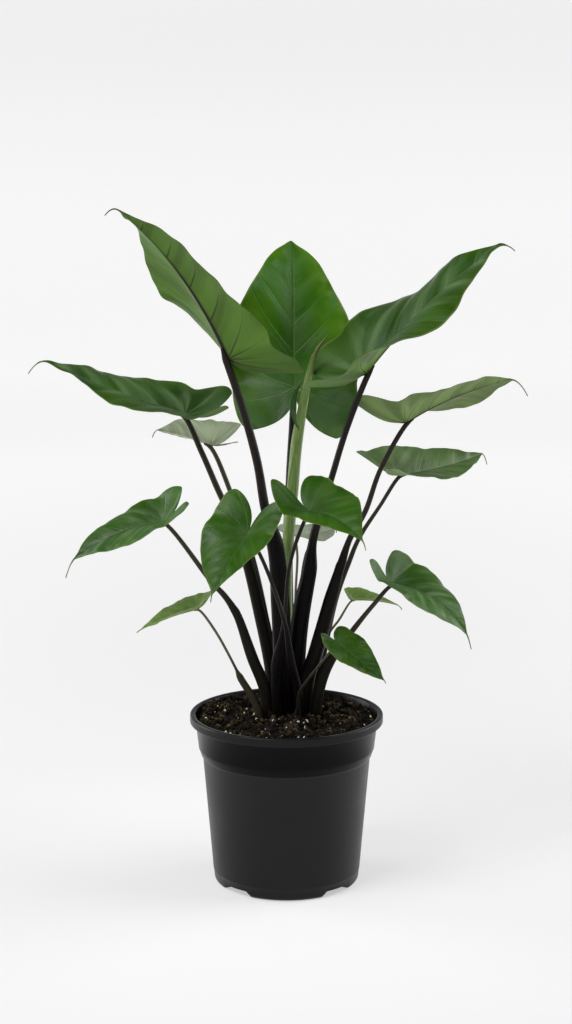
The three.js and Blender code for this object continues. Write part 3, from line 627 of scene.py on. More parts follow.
def weld(points, faces, *values, tolerance=1e-3):
    """Joins points that lie on each other and drops the faces that vanish"""
    keys = np.round(points / tolerance).astype(np.int64)
    _, first, inverse = np.unique(keys, axis=0, return_index=True, return_inverse=True)
    inverse = inverse.ravel()
    kept = []
    for face in faces:
        corners = list(dict.fromkeys(int(inverse[i]) for i in face))
        if len(corners) > 2:
            kept.append(tuple(corners))
    return points[first], kept, [value[first] for value in values]


def thicken(points, faces, above, below):
    """Closed sheet from a net: its upper points followed by its lower ones, and its faces"""
    normals = np.zeros_like(points)
    edges = {}
    for face in faces:
        corners = points[list(face)]
        normal = np.cross(corners[1] - corners[0], corners[2] - corners[0])
        if len(face) == 4:
            normal += np.cross(corners[2] - corners[0], corners[3] - corners[0])
        for i, corner in enumerate(face):
            normals[corner] += normal
            edges[(corner, face[(i + 1) % len(face)])] = True
    normals = unit(normals)
    count = len(points)
    solid = np.vstack([points + normals * above[:, None], points - normals * below[:, None]])
    walls = [(b, a, a + count, b + count) for a, b in edges if (b, a) not in edges]
    under = [tuple(i + count for i in reversed(face)) for face in faces]
    return solid, [*faces, *under, *walls]


# Node trees

class Nodes:
    """Builds a node tree: each call adds a node and returns it or its output"""

    def __init__(self, tree):
        self.tree = tree

    def add(self, kind, inputs=None, **settings):
        node = self.tree.nodes.new(kind)
        for key, value in settings.items():
            setattr(node, key, value)
        for key, value in (inputs or {}).items():
            self.feed(node.inputs[key], value)
        return node

    def feed(self, socket, value):
        if isinstance(value, bpy.types.NodeSocket):
            self.tree.links.new(value, socket)
        else:
            socket.default_value = value

    def math(self, operation, *values, clamp=False):
        node = self.add("ShaderNodeMath", dict(enumerate(values)), operation=operation, use_clamp=clamp)
        return node.outputs[0]

    def ramp(self, value, low, high, to_low=0.0, to_high=1.0):
        """Smooth change from one value to another"""
        places = {"Value": value, "From Min": low, "From Max": high, "To Min": to_low, "To Max": to_high}
        return self.add("ShaderNodeMapRange", places, interpolation_type="SMOOTHSTEP").outputs[0]

    def mix(self, share, a, b, blend="MIX"):
        node = self.add("ShaderNodeMix", data_type="RGBA", blend_type=blend)
        for socket, value in zip((node.inputs[0], node.inputs[6], node.inputs[7]), (share, a, b)):
            self.feed(socket, value)
        return node.outputs[2]

    def noise(self, vector, scale, detail=2.0, roughness=0.5, distortion=0.0):
        inputs = {"Vector": vector, "Scale": scale, "Detail": detail, "Roughness": roughness,
                  "Distortion": distortion}
        return self.add("ShaderNodeTexNoise", inputs).outputs[0]

    def group(self, tree, **inputs):
        node = self.add("ShaderNodeGroup", node_tree=tree)
        for key, value in inputs.items():
            self.feed(node.inputs[key.replace("_", " ").title()], value)
        return node.outputs

    def split(self, vector):
        return self.add("ShaderNodeSeparateXYZ", {0: vector}).outputs

    def combine(self, *parts):
        return self.add("ShaderNodeCombineXYZ", dict(enumerate(parts))).outputs[0]

    def place(self):
        """Position on the plant, in metres"""
        return self.add("ShaderNodeTexCoord").outputs["Object"]

    def attribute(self, name, output="Vector"):
        return self.add("ShaderNodeAttribute", attribute_name=name).outputs[output]


def rgba(colour, scale=1.0):
    return (*(c * scale for c in colour), 1.0)


def shader_group(name, inputs, outputs):
    """Empty group with named inputs and outputs"""
    tree = bpy.data.node_groups.new(name, "ShaderNodeTree")
    for label, kind, default in inputs:
        socket = tree.interface.new_socket(label, in_out="INPUT", socket_type=kind)
        if default is not None:
            socket.default_value = default
    for label in outputs:
        tree.interface.new_socket(label, in_out="OUTPUT", socket_type="NodeSocketFloat")
    nodes = Nodes(tree)
    return tree, nodes, nodes.add("NodeGroupInput").outputs, nodes.add("NodeGroupOutput").inputs


def mottle_group():
    """Soft blotches and fine grain, shared by every grown or moulded surface"""
    if "Mottle" in bpy.data.node_groups:
        return bpy.data.node_groups["Mottle"]
    tree, nodes, inputs, outputs = shader_group(
        "Mottle",
        (("Vector", "NodeSocketVector", None), ("Blotch Scale", "NodeSocketFloat", 14.0),
         ("Grain Scale", "NodeSocketFloat", 700.0), ("Grain Share", "NodeSocketFloat", 0.25)),
        ("Mask", "Height"))
    blotch = nodes.noise(inputs["Vector"], inputs["Blotch Scale"], 3.0, 0.55)
    grain = nodes.noise(inputs["Vector"], inputs["Grain Scale"], 2.0, 0.6)
    both = nodes.math("ADD", nodes.math("MULTIPLY", grain, inputs["Grain Share"]),
                      nodes.math("MULTIPLY", blotch, nodes.math("SUBTRACT", 1.0, inputs["Grain Share"])))
    nodes.feed(outputs["Mask"], nodes.ramp(both, 0.3, 0.7))
    nodes.feed(outputs["Height"], grain)
    return tree


def vein_group():
    """Where the midrib and side veins run, from a place on the flat blade in shares of its length"""
    if "Leaf Veins" in bpy.data.node_groups:
        return bpy.data.node_groups["Leaf Veins"]
    tree, nodes, inputs, outputs = shader_group(
        "Leaf Veins",
        (("Place", "NodeSocketVector", None), ("Width", "NodeSocketFloat", 0.006)),
        ("Midrib", "Side Veins", "Hub", "Between", "Streaks"))
    parts = nodes.split(inputs["Place"])
    x, y = nodes.math("ABSOLUTE", parts[0]), parts[1]
    squares = nodes.math("ADD", nodes.math("MULTIPLY", x, x), nodes.math("MULTIPLY", y, y))
    reach = nodes.math("SQRT", squares)
    width = inputs["Width"]

    bent = nodes.math("MULTIPLY", x, nodes.math("MULTIPLY_ADD", x, VEIN_BEND, VEIN_SLOPE))
    order = nodes.math("DIVIDE", nodes.math("SUBTRACT", y, bent), VEIN_SPACING)
    off_side = nodes.math("PINGPONG", order, 0.5)
    side = nodes.ramp(nodes.math("MULTIPLY", off_side, VEIN_SPACING * 0.7), 0.0, width, 1.0, 0.0)
    side = nodes.math("MULTIPLY", side, nodes.math("GREATER_THAN", order, -0.5))

    angle = nodes.math("ARCTAN2", x, y)
    turned = nodes.math("MULTIPLY_ADD", reach, FAN_BEND, nodes.math("SUBTRACT", angle, FAN_FIRST))
    off_fan = nodes.math("PINGPONG", nodes.math("DIVIDE", turned, FAN_STEP), 0.5)
    gap = nodes.math("MULTIPLY", nodes.math("MULTIPLY", off_fan, FAN_STEP), reach)
    fan = nodes.ramp(gap, 0.0, width, 1.0, 0.0)
    behind = nodes.math("GREATER_THAN", angle, FAN_FROM)
    ahead = nodes.math("SUBTRACT", 1.0, behind)
    veins = nodes.math("ADD", nodes.math("MULTIPLY", fan, behind), nodes.math("MULTIPLY", side, ahead))

    rib_width = nodes.math("MULTIPLY", width, nodes.math("MULTIPLY_ADD", y, -1.1, 1.6))
    midrib = nodes.ramp(x, nodes.math("MULTIPLY", rib_width, 0.3), rib_width, 1.0, 0.0)
    midrib = nodes.math("MULTIPLY", midrib, nodes.math("GREATER_THAN", y, -0.02))
    nodes.feed(outputs["Midrib"], midrib)
    nodes.feed(outputs["Side Veins"], veins)
    nodes.feed(outputs["Hub"], nodes.ramp(reach, 0.0, 0.22, 1.0, 0.0))
    between = nodes.math("ADD", nodes.math("MULTIPLY", off_fan, behind),
                         nodes.math("MULTIPLY", off_side, ahead))
    nodes.feed(outputs["Between"], nodes.math("MULTIPLY", between, 2.0))

    # Streaks run with the side veins and differ from blade to blade
    turning = nodes.ramp(angle, FAN_FROM - 0.25, FAN_FROM + 0.25)
    flow = nodes.math("SUBTRACT", nodes.math("MULTIPLY", order, nodes.math("SUBTRACT", 1.0, turning)),
                      nodes.math("MULTIPLY", nodes.math("DIVIDE", turned, FAN_STEP), turning))
    half = nodes.math("MULTIPLY", nodes.math("SIGN", parts[0]), 3.0)
    high = nodes.math("MULTIPLY_ADD", nodes.split(nodes.place())[2], 4.0, half)
    grown = nodes.combine(flow, nodes.math("MULTIPLY", reach, 1.3), high)
    nodes.feed(outputs["Streaks"], nodes.ramp(nodes.noise(grown, 1.7, 2.0, 0.5), 0.33, 0.67))
    return tree


def new_material(name):
    """Material with an empty Principled shader; returns it, its nodes and the shader"""
    material = bpy.data.materials.new(name)
    material.use_nodes = True
    nodes = Nodes(material.node_tree)
    return material, nodes, material.node_tree.nodes["Principled BSDF"]


def dress(nodes, shader, colour, roughness, shine, relief):
    """Feeds the shader; relief is a height, its strength and its depth in metres"""
    height, strength, depth = relief
    bump = nodes.add("ShaderNodeBump", {"Height": height, "Strength": strength, "Distance": depth})
    nodes.feed(shader.inputs["Base Color"], colour)
    nodes.feed(shader.inputs["Roughness"], roughness)
    nodes.feed(shader.inputs["Specular IOR Level"], shine)
    nodes.feed(shader.inputs["Normal"], bump.outputs[0])


def plastic_material():
    settings = bpy.context.scene.alocasia_pot
    material, nodes, shader = new_material("Black nursery pot plastic")
    place = nodes.place()
    mottle = nodes.group(mottle_group(), vector=place, blotch_scale=26.0, grain_scale=1500.0)
    drawn = nodes.add("ShaderNodeMapping", {"Vector": place, "Scale": (160, 160, 9)}).outputs[0]
    streaks = nodes.noise(drawn, 1.0, 2.0)
    # The band under the rim is painted darker, as painted shade under the lip, and is smoother and duller
    # than the wall
    high = nodes.split(place)[2]
    above = nodes.ramp(high, (SHOULDER[1] - 0.5) * MM, (SHOULDER[1] + 1.5) * MM)
    below = nodes.ramp(high, LIP[1] * MM, (LIP[1] + 2) * MM, 1.0, 0.0)
    band = nodes.math("MULTIPLY", above, below)
    lighter = nodes.math("MULTIPLY", mottle["Mask"], 0.5)
    base = nodes.mix(lighter, rgba(settings.colour), rgba(settings.colour, 1.8))
    # Painted shade: the band takes a darker colour than the wall
    base = nodes.mix(band, base, rgba(settings.colour, 0.3))
    rough = nodes.math("MULTIPLY_ADD", mottle["Mask"], 0.1, settings.roughness - 0.05)
    rough = nodes.math("MULTIPLY_ADD", band, -0.12, rough)
    rough = nodes.math("MULTIPLY_ADD", streaks, 0.06, rough)
    rim = nodes.ramp(high, (LIP[1] - 1) * MM, (LIP[1] + 1) * MM)
    dull = nodes.math("MAXIMUM", nodes.math("MULTIPLY", rim, 0.35), band)
    shine = nodes.ramp(dull, 0.0, 1.0, 0.2, 0.08)
    dress(nodes, shader, base, rough, shine, (mottle["Height"], 0.12, 0.0003))
    return material


def peat_material(name, colour, lighter, blotch_scale):
    """Crumbly matter of one colour range, which changes from clod to clod"""
    material, nodes, shader = new_material(name)
    mottle = nodes.group(mottle_group(), vector=nodes.place(), blotch_scale=blotch_scale,
                         grain_scale=900.0, grain_share=0.4)
    drier = nodes.ramp(nodes.noise(nodes.place(), 60.0, 1.0), 0.4, 0.66, 0.04, 1.0)
    pale = nodes.math("MULTIPLY", nodes.math("POWER", mottle["Mask"], 3.5), drier)
    base = nodes.mix(pale, rgba(colour), rgba(lighter))
    rough = nodes.ramp(mottle["Mask"], 0.0, 1.0, 0.95, 0.7)
    dress(nodes, shader, base, rough, 0.12, (mottle["Height"], 0.8, 0.0008))
    return material


def upper_colour(nodes, leaf, edge, veins, blotches, upper, vein, sheen, warmth, hub):
    """Green with warm patches, paler streaks of painted sheen, paler veins and a thin yellow margin"""
    along = nodes.split(leaf)[1]
    green = nodes.mix(blotches, rgba(upper, 0.6), rgba(upper, 1.3))
    patches = nodes.ramp(nodes.noise(leaf, 4.5, 2.0), 0.36, 0.6)
    warm = nodes.math("MULTIPLY", patches, nodes.ramp(edge, 0.1, 0.9, 0.0, warmth))
    green = nodes.mix(warm, green, rgba((upper[0] * 2.6, upper[1] * 1.6, upper[2])))
    beside = nodes.ramp(veins["Between"], 0.05, 0.8, 1.0, 0.35)
    # Painted sheen: paler streaks beside the veins, as strong as sheen sets
    painted_sheen = nodes.math("MULTIPLY", veins["Streaks"], nodes.math("MULTIPLY", beside, sheen))
    inner = nodes.ramp(edge, 0.35, 0.95, 1.0, 0.0)
    painted_sheen = nodes.math("MULTIPLY", painted_sheen, nodes.math("MULTIPLY_ADD", inner, 0.6, 0.4))
    side = nodes.math("MULTIPLY", veins["Side Veins"], nodes.ramp(edge, 0.15, 0.8, 0.45, 0.05))
    midrib = nodes.math("MULTIPLY", veins["Midrib"], nodes.ramp(along, 0.0, 0.9, 0.7, 0.2))
    near_hub = nodes.math("MULTIPLY_ADD", veins["Streaks"], 0.3 * hub, 0.4 * hub)
    centre = nodes.math("MULTIPLY", veins["Hub"], near_hub)
    pale = nodes.math("MAXIMUM", side, painted_sheen)
    for mark in (midrib, centre):
        pale = nodes.math("MAXIMUM", pale, mark)
    margin = nodes.ramp(edge, 0.955, 0.985, 0.0, 0.55)
    return nodes.mix(margin, nodes.mix(pale, green, rgba(vein)), rgba(MARGIN_YELLOW))


def under_colour(nodes, leaf, edge, veins, under, dark_ribs):
    """Paler, with a nearly black rib that turns green towards the tip"""
    parts = nodes.split(leaf)
    olive = nodes.mix(veins["Streaks"], rgba(under, 0.8), rgba(under, 1.25))
    rib_fade = nodes.ramp(parts[1], 0.45, 0.85, 1.0, 0.0)
    rib_half = nodes.math("MULTIPLY_ADD", parts[1], -0.011, 0.014)
    off_rib = nodes.math("DIVIDE", nodes.math("ABSOLUTE", parts[0]), rib_half)
    rib = nodes.math("MULTIPLY", nodes.ramp(off_rib, 0.55, 1.0, 1.0, 0.0), rib_fade)
    rib = nodes.math("MULTIPLY", rib, nodes.math("GREATER_THAN", parts[1], -0.03))
    dark = nodes.math("MULTIPLY", veins["Side Veins"], nodes.ramp(edge, 0.1, 0.85, 0.85, 0.0))
    dark = nodes.math("MULTIPLY", nodes.math("MAXIMUM", rib, dark), dark_ribs)
    return nodes.mix(dark, olive, rgba(RIB_BLACK))


def leaf_relief(nodes, leaf, veins, grain):
    """Height of the skin: a fine net, sunken side veins, streaks and soft dents"""
    net = nodes.add("ShaderNodeTexVoronoi", {"Vector": leaf, "Scale": 46.0}, feature="DISTANCE_TO_EDGE")
    fine = nodes.ramp(net.outputs["Distance"], 0.0, 0.12)
    relief = nodes.math("MULTIPLY_ADD", fine, 0.1, nodes.math("MULTIPLY", grain, 0.15))
    relief = nodes.math("SUBTRACT", relief, nodes.math("MULTIPLY", veins["Side Veins"], 0.5))
    relief = nodes.math("MULTIPLY_ADD", veins["Streaks"], 0.6, relief)
    return nodes.math("MULTIPLY_ADD", nodes.noise(leaf, 8.0, 1.0), 1.6, relief)


def leaf_material(name, upper, under, vein, roughness, shade=1.0, sheen=0.4, shine=0.3, lobe_shine=None,
                  warmth=0.0, hub=1.0, relief_depth=0.001, dark_ribs=1.0, drip_colour=DRY_TIP):
    """Upper and under face in one material, told apart by the blade's own attribute"""
    material, nodes, shader = new_material(name)
    leaf = nodes.attribute("leaf_place")
    edge = nodes.attribute("leaf_edge", "Fac")
    parts = nodes.split(leaf)
    veins = nodes.group(vein_group(), place=leaf)
    mottle = nodes.group(mottle_group(), vector=nodes.place(), blotch_scale=16.0, grain_scale=900.0)
    upward = nodes.ramp(parts[2], 0.3, 0.7)
    top = upper_colour(
        nodes, leaf, edge, veins, mottle["Mask"], rgba(upper, shade)[:3], vein, sheen, warmth, hub)
    bottom = under_colour(nodes, leaf, edge, veins, under, dark_ribs)

    # Both faces dry out in the drip tip
    drip = nodes.ramp(parts[1], 0.93, 0.975, 0.0, 0.9)
    base = nodes.mix(drip, nodes.mix(upward, bottom, top), rgba(drip_colour))

    # The under face is duller, and the lobes of some leaves shine more than the rest
    gloss = nodes.math("MULTIPLY_ADD", veins["Streaks"], 0.14, roughness - 0.07)
    rough = nodes.add("ShaderNodeMix", {0: upward, 2: 0.5, 3: gloss}).outputs[0]
    polish = nodes.ramp(parts[1], -0.05, 0.15, lobe_shine or shine, shine)
    shine = nodes.add("ShaderNodeMix", {0: upward, 2: 0.2, 3: polish}).outputs[0]
    relief = leaf_relief(nodes, leaf, veins, mottle["Height"])
    dress(nodes, shader, base, rough, shine, (relief, 0.4, relief_depth))
    return material


def stem_material():
    settings = bpy.context.scene.alocasia_stem
    material, nodes, shader = new_material("Black stem")
    round_place = nodes.attribute("stem_place")
    sheath = nodes.attribute("stem_sheath", "Fac")
    mottle = nodes.group(mottle_group(), vector=nodes.place(), blotch_scale=40.0, grain_scale=1300.0)
    streak = nodes.noise(round_place, 5.0, 4.0, 0.65)
    flecks = nodes.ramp(nodes.noise(nodes.place(), 1100.0, 1.0), 0.62, 0.72)
    dark = nodes.mix(sheath, rgba(settings.stalk), rgba(settings.sheath))
    light = nodes.mix(sheath, rgba(settings.stalk, 2.4), rgba((0.008, 0.0056, 0.005)))
    share = nodes.ramp(streak, 0.42, 0.72, 0.0, 0.8)
    base = nodes.mix(share, dark, light)
    young = nodes.attribute("stem_tone", "Fac")
    base = nodes.mix(young, base, nodes.mix(share, rgba(settings.young), rgba(settings.young, 1.6)))
    base = nodes.mix(nodes.math("MULTIPLY", flecks, 0.3), base, rgba((0.05, 0.034, 0.028)))
    rough = nodes.ramp(mottle["Mask"], 0.0, 1.0, 0.3, 0.44)
    shine = nodes.ramp(sheath, 0.0, 1.0, 0.14, 0.06)
    height = nodes.math("MULTIPLY_ADD", streak, 0.8, nodes.math("MULTIPLY", mottle["Height"], 0.2))
    dress(nodes, shader, base, rough, shine, (height, 0.35, 0.0006))
    return material


def new_leaf_material():
    """Pale rolled leaf with faint streaks, brownish in its thread"""
    material, nodes, shader = new_material("Rolled new leaf")
    round_place = nodes.attribute("stem_place")
    high = nodes.split(nodes.place())[2]
    mottle = nodes.group(mottle_group(), vector=nodes.place(), blotch_scale=30.0, grain_scale=900.0)
    streak = nodes.noise(round_place, 3.2, 3.0, 0.6)
    base = nodes.mix(nodes.ramp(streak, 0.35, 0.7), rgba((0.085, 0.155, 0.018)), rgba((0.165, 0.25, 0.06)))
    base = nodes.mix(nodes.math("MULTIPLY", mottle["Mask"], 0.25), base, rgba((0.1, 0.17, 0.03)))
    top = nodes.ramp(high, 0.495, 0.535, 0.0, 0.75)
    base = nodes.mix(top, base, rgba((0.075, 0.08, 0.02)))
    rough = nodes.ramp(mottle["Mask"], 0.0, 1.0, 0.36, 0.48)
    dress(nodes, shader, base, rough, 0.5, (streak, 0.3, 0.0005))
    return material


# Pot

def arc(centre, radius, start, end, steps=6):
    """Points on a round corner of a profile, by angle in degrees"""
    angles = np.radians(np.linspace(start, end, steps))
    return [(centre[0] + radius * math.cos(a), centre[1] + radius * math.sin(a)) for a in angles]


def pot_profile():
    """Closed section of the pot as (radius, height), outside first"""
    floor_top = FOOT_HEIGHT + FLOOR_THICKNESS
    corner = (POT_FOOT_RADIUS, FOOT_CORNER)
    outside = [
        (FOOT_RING_INNER, 0.4), (FOOT_RING_INNER + 0.5, 0), (POT_FOOT_RADIUS, 0),
        *arc(corner, FOOT_CORNER, -86, -8, 7),
        (WAIST[0], WAIST[1]), (WAIST[0] + 0.45, WAIST[1] + 0.5), (WAIST[0] + 0.5, WAIST[1] + 1.6),
        (SHOULDER[0] - 0.15, SHOULDER[1] - 1.5), (SHOULDER[0] + SHOULDER_STEP, SHOULDER[1] - 0.2),
        (SHOULDER[0] + 1.6, SHOULDER[1] + 1.2), (BAND[0] - 0.8, BAND[1] - 1.4),
        (BAND[0] - 0.1, BAND[1] - 0.2), (BAND[0] + 0.12, BAND[1] + 1.2),
        (LIP[0] - 0.25, LIP[1] - 2.6), (LIP[0] + 0.5, LIP[1] - 1.6), (LIP[0] + 0.7, LIP[1] - 0.4),
        (LIP[0] + 1.2, LIP[1] + 0.2), (POT_RIM_RADIUS - 1.6, LIP[1] + 0.4),
        *arc((POT_RIM_RADIUS - 1.4, LIP[1] + 1.8), 1.4, -70, 0, 5),
        *arc((POT_RIM_RADIUS - 1.7, POT_HEIGHT - 1.7), 1.7, 0, 90, 7),
    ]
    inside = [
        (LIP[0] + 1.4, POT_HEIGHT - 0.25), (LIP[0] + 0.5, POT_HEIGHT - 0.6),
        (LIP[0] + 0.1, POT_HEIGHT - 1.4), (LIP[0] - POT_WALL + 0.9, LIP[1] + 2.4),
        (LIP[0] - POT_WALL, LIP[1] + 1),
        (BAND[0] - POT_WALL, BAND[1] + 1), (SHOULDER[0] - POT_WALL, SHOULDER[1] + 1),
        (WAIST[0] - POT_WALL, WAIST[1] + 2), (SOIL_FOOT_RADIUS + GAP, floor_top), (0.5, floor_top),
    ]
    underside = [
        (0.5, 0), (HUB_RADIUS - 0.6, 0), (HUB_RADIUS, 0.6), (HUB_RADIUS, FOOT_HEIGHT - 0.6),
        (HUB_RADIUS + 0.6, FOOT_HEIGHT), (FOOT_RING_INNER - 0.6, FOOT_HEIGHT),
        (FOOT_RING_INNER, FOOT_HEIGHT - 0.6),
    ]
    return [*outside, *inside, *underside]


def notch_height(angles):
    """Height that the foot ring is cut away to round the pot"""
    middle = math.pi * 2 / NOTCH_COUNT
    off = np.abs((angles % middle) - middle / 2)
    half, slope = math.radians(NOTCH_HALF_ANGLE), math.radians(NOTCH_SLOPE_ANGLE)
    return NOTCH_HEIGHT * smoothstep(half + slope, half - slope, off)


class ALOCASIA_OT_pot(bpy.types.Operator):
    """Builds the nursery pot with its rim, band, notched foot ring and hub"""

    bl_idname = "alocasia.pot"
    bl_label = "Build Pot"

    def execute(self, context):
        segments = context.scene.alocasia_pot.segments
        profile = np.array(pot_profile())
        angles = full_turn(segments)
        radius = profile[:, 0][:, None] * np.ones(segments)
        height = profile[:, 1][:, None] * np.ones(segments)
        ring = radius > FOOT_RING_INNER - 1
        low = np.maximum(height, np.minimum(notch_height(angles)[None], FOOT_HEIGHT - 0.8))
        height = np.where(ring & (height < NOTCH_HEIGHT), low, height)
        points = np.stack([radius * np.cos(angles), radius * np.sin(angles), height], -1)
        faces = strip_faces(len(profile) + 1, segments, closed=True)
        count = len(profile) * segments
        faces = [tuple(i % count for i in face) for face in faces]
        piece = mesh_piece("nursery_pot", points.reshape(-1, 3), faces, plastic_material())
        piece.data.set_sharp_from_angle(angle=SHARP_ANGLE)
        hand_over(piece, "pot_plastic", "pot")
        return {"FINISHED"}


# Soil

def stem_feet():
    """Centre and radius of each stem where it leaves the soil, the new leaf's last"""
    feet = [(*leaf["stem"][0][:2], leaf["stem"][0][3]) for leaf in LEAVES]
    return np.array([*feet, NEW_LEAF_FOOT])


def soil_height(x, y):
    """Height of the mix: a slight crown, a heap against the rim and crumbly relief"""
    share = np.hypot(x, y) / SOIL_RADIUS
    base = SOIL_EDGE_Z + SOIL_COVER + SOIL_CROWN * (1 - share**2)
    rough = np.array([
        sum(height * noise.noise(Vector((a * pitch, b * pitch, layer)))
            for height, pitch, layer in SOIL_RELIEFS)
        for a, b in zip(x.ravel(), y.ravel())]).reshape(x.shape)
    off = ((x - HEAP_PLACE[0]) / HEAP_SPREAD[0])**2 + ((y - HEAP_PLACE[1]) / HEAP_SPREAD[1])**2
    return base + rough + HEAP_HEIGHT * np.exp(-off)


def soil_piece(material):
    """The mix, which fills the pot, with its clear ground marked for the grains"""
    rings, segments = 84, 240
    radii = SOIL_RADIUS * (np.arange(rings) + 0.5) / (rings - 0.5)
    angles = full_turn(segments)
    x, y = radii[:, None] * np.cos(angles), radii[:, None] * np.sin(angles)
    top = np.stack([x, y, soil_height(x, y)], -1)
    wall = [(SHOULDER[0] - POT_WALL - GAP, SHOULDER[1] + 1), (WAIST[0] - POT_WALL - GAP, WAIST[1] + 2),
            (SOIL_FOOT_RADIUS, SOIL_FLOOR_Z)]
    skirt = [np.stack([r * np.cos(angles), r * np.sin(angles), np.full(segments, z)], -1) for r, z in wall]
    points, faces = capped_tube(np.concatenate([top, skirt]))
    faces = [tuple(reversed(face)) for face in faces]
    feet = stem_feet()
    off = np.hypot(points[:, 0, None] - feet[:, 0], points[:, 1, None] - feet[:, 1]) - feet[:, 2]
    clear = smoothstep(*STEM_CLEARANCE, off.min(1)) * (points[:, 2] > SOIL_EDGE_Z - 6)
    clear *= np.hypot(points[:, 0], points[:, 1]) < SOIL_RADIUS - 2
    return mesh_piece("potting_mix", points, faces, material, {"clear_ground": clear})


def grain_shape(kind, seed):
    """One rough grain about a millimetre across, used only to be repeated"""
    bpy.ops.mesh.primitive_ico_sphere_add(subdivisions=kind["fineness"], radius=0.5 * MM)
    shape = bpy.context.object
    shape.name = f"grain_of_{kind['name']}"
    draws = np.random.default_rng(seed)
    for vertex in shape.data.vertices:
        vertex.co = Vector(
            vertex.co[k] * kind["stretch"][k] * (1 + kind["jitter"] * draws.uniform(-1, 1))
            for k in range(3))
    return shape


def scatter_tree():
    """Grains spread at random over the clear ground, pressed a little into it"""
    if "Scatter On Soil" in bpy.data.node_groups:
        return bpy.data.node_groups["Scatter On Soil"]
    tree = bpy.data.node_groups.new("Scatter On Soil", "GeometryNodeTree")
    for label, kind in (("Ground", "NodeSocketGeometry"), ("Grain", "NodeSocketObject"),
                        ("Density", "NodeSocketFloat"), ("Seed", "NodeSocketInt"),
                        ("Smallest", "NodeSocketFloat"), ("Largest", "NodeSocketFloat"),
                        ("Tilt", "NodeSocketFloat"), ("Lift", "NodeSocketFloat"),
                        ("Material", "NodeSocketMaterial")):
        tree.interface.new_socket(label, in_out="INPUT", socket_type=kind)
    tree.interface.new_socket("Grains", in_out="OUTPUT", socket_type="NodeSocketGeometry")
    nodes = Nodes(tree)
    inputs = nodes.add("NodeGroupInput").outputs
    clear = nodes.add("GeometryNodeInputNamedAttribute", {"Name": "clear_ground"}, data_type="FLOAT")
    spots = nodes.add(
        "GeometryNodeDistributePointsOnFaces",
        {"Mesh": inputs["Ground"], "Seed": inputs["Seed"],
         "Density": nodes.math("MULTIPLY", clear.outputs[0], inputs["Density"])})
    tilt = nodes.add("FunctionNodeRandomValue", {"Seed": inputs["Seed"]}, data_type="FLOAT_VECTOR")
    back = nodes.math("MULTIPLY", inputs["Tilt"], -1.0)
    for corner, value, turn in (("Min", back, -math.pi), ("Max", inputs["Tilt"], math.pi)):
        nodes.feed(tilt.inputs[corner], nodes.combine(value, value, turn))
    size = nodes.add("FunctionNodeRandomValue", data_type="FLOAT")
    for key, value in (("Min", inputs["Smallest"]), ("Max", inputs["Largest"]), ("Seed", inputs["Seed"])):
        nodes.feed(next(s for s in size.inputs if s.name == key and s.enabled), value)
    shape = nodes.add("GeometryNodeObjectInfo", {"Object": inputs["Grain"]})
    lifted = nodes.add(
        "GeometryNodeSetPosition",
        {"Geometry": spots.outputs["Points"], "Offset": nodes.combine(0.0, 0.0, inputs["Lift"])})
    placed = nodes.add(
        "GeometryNodeInstanceOnPoints",
        {"Points": lifted.outputs[0], "Instance": shape.outputs["Geometry"],
         "Rotation": tilt.outputs[0], "Scale": next(o for o in size.outputs if o.enabled)})
    real = nodes.add("GeometryNodeRealizeInstances", {0: placed.outputs[0]})
    dressed = nodes.add(
        "GeometryNodeSetMaterial", {"Geometry": real.outputs[0], "Material": inputs["Material"]})
    nodes.add("NodeGroupOutput", {0: dressed.outputs[0]})
    return tree


def scatter(ground, kind, shape, material, density, seed):
    """One plain mesh of all the grains of a kind"""
    carrier = ground.copy()
    modifier = carrier.modifiers.new("Scatter", "NODES")
    modifier.node_group = scatter_tree()
    values = {"Grain": shape, "Density": density, "Seed": seed, "Smallest": kind["sizes"][0],
              "Largest": kind["sizes"][1], "Tilt": kind["tilt"], "Lift": kind["lift"] * MM,
              "Material": material}
    for item in modifier.node_group.interface.items_tree:
        if item.in_out == "INPUT" and item.name in values:
            modifier[item.identifier] = values[item.name]
    bpy.context.collection.objects.link(carrier)
    shown = carrier.evaluated_get(bpy.context.evaluated_depsgraph_get())
    mesh = bpy.data.meshes.new_from_object(shown)
    carrier.modifiers.remove(modifier)
    bpy.data.objects.remove(carrier)
    if not mesh.polygons:
        raise RuntimeError(f"no {kind['name']} were scattered")
    mesh.name = kind["name"]
    mesh.shade_smooth()
    piece = bpy.data.objects.new(kind["name"], mesh)
    bpy.context.collection.objects.link(piece)
    return piece


class ALOCASIA_OT_soil(bpy.types.Operator):
    """Builds the potting mix with its crumbs, bark, fibres and perlite"""

    bl_idname = "alocasia.soil"
    bl_label = "Build Soil"

    def execute(self, context):
        settings = context.scene.alocasia_soil
        peat = peat_material("Dark peat", settings.colour, (0.012, 0.007, 0.004), 120.0)
        looks = {
            "crumb": peat_material("Peat crumb", (0.0018, 0.0012, 0.0008), (0.22, 0.155, 0.07), 300.0),
            "bark": peat_material("Bark chip", (0.003, 0.0018, 0.0011), (0.45, 0.28, 0.12), 260.0),
            "perlite": peat_material("Perlite", (0.6, 0.57, 0.5), (0.88, 0.87, 0.83), 400.0),
            "fibre": peat_material("Peat fibre", (0.05, 0.034, 0.016), (0.4, 0.3, 0.15), 90.0),
        }
        ground = soil_piece(peat)
        for seed, kind in enumerate(GRAINS, settings.seed):
            shape = grain_shape(kind, seed)
            density = getattr(settings, kind["density"])
            piece = scatter(ground, kind, shape, looks[kind["look"]], density, seed)
            bpy.data.objects.remove(shape)
            hand_over(piece, "potting_mix")
        hand_over(ground, "potting_mix", "soil")
        return {"FINISHED"}


# Leaves

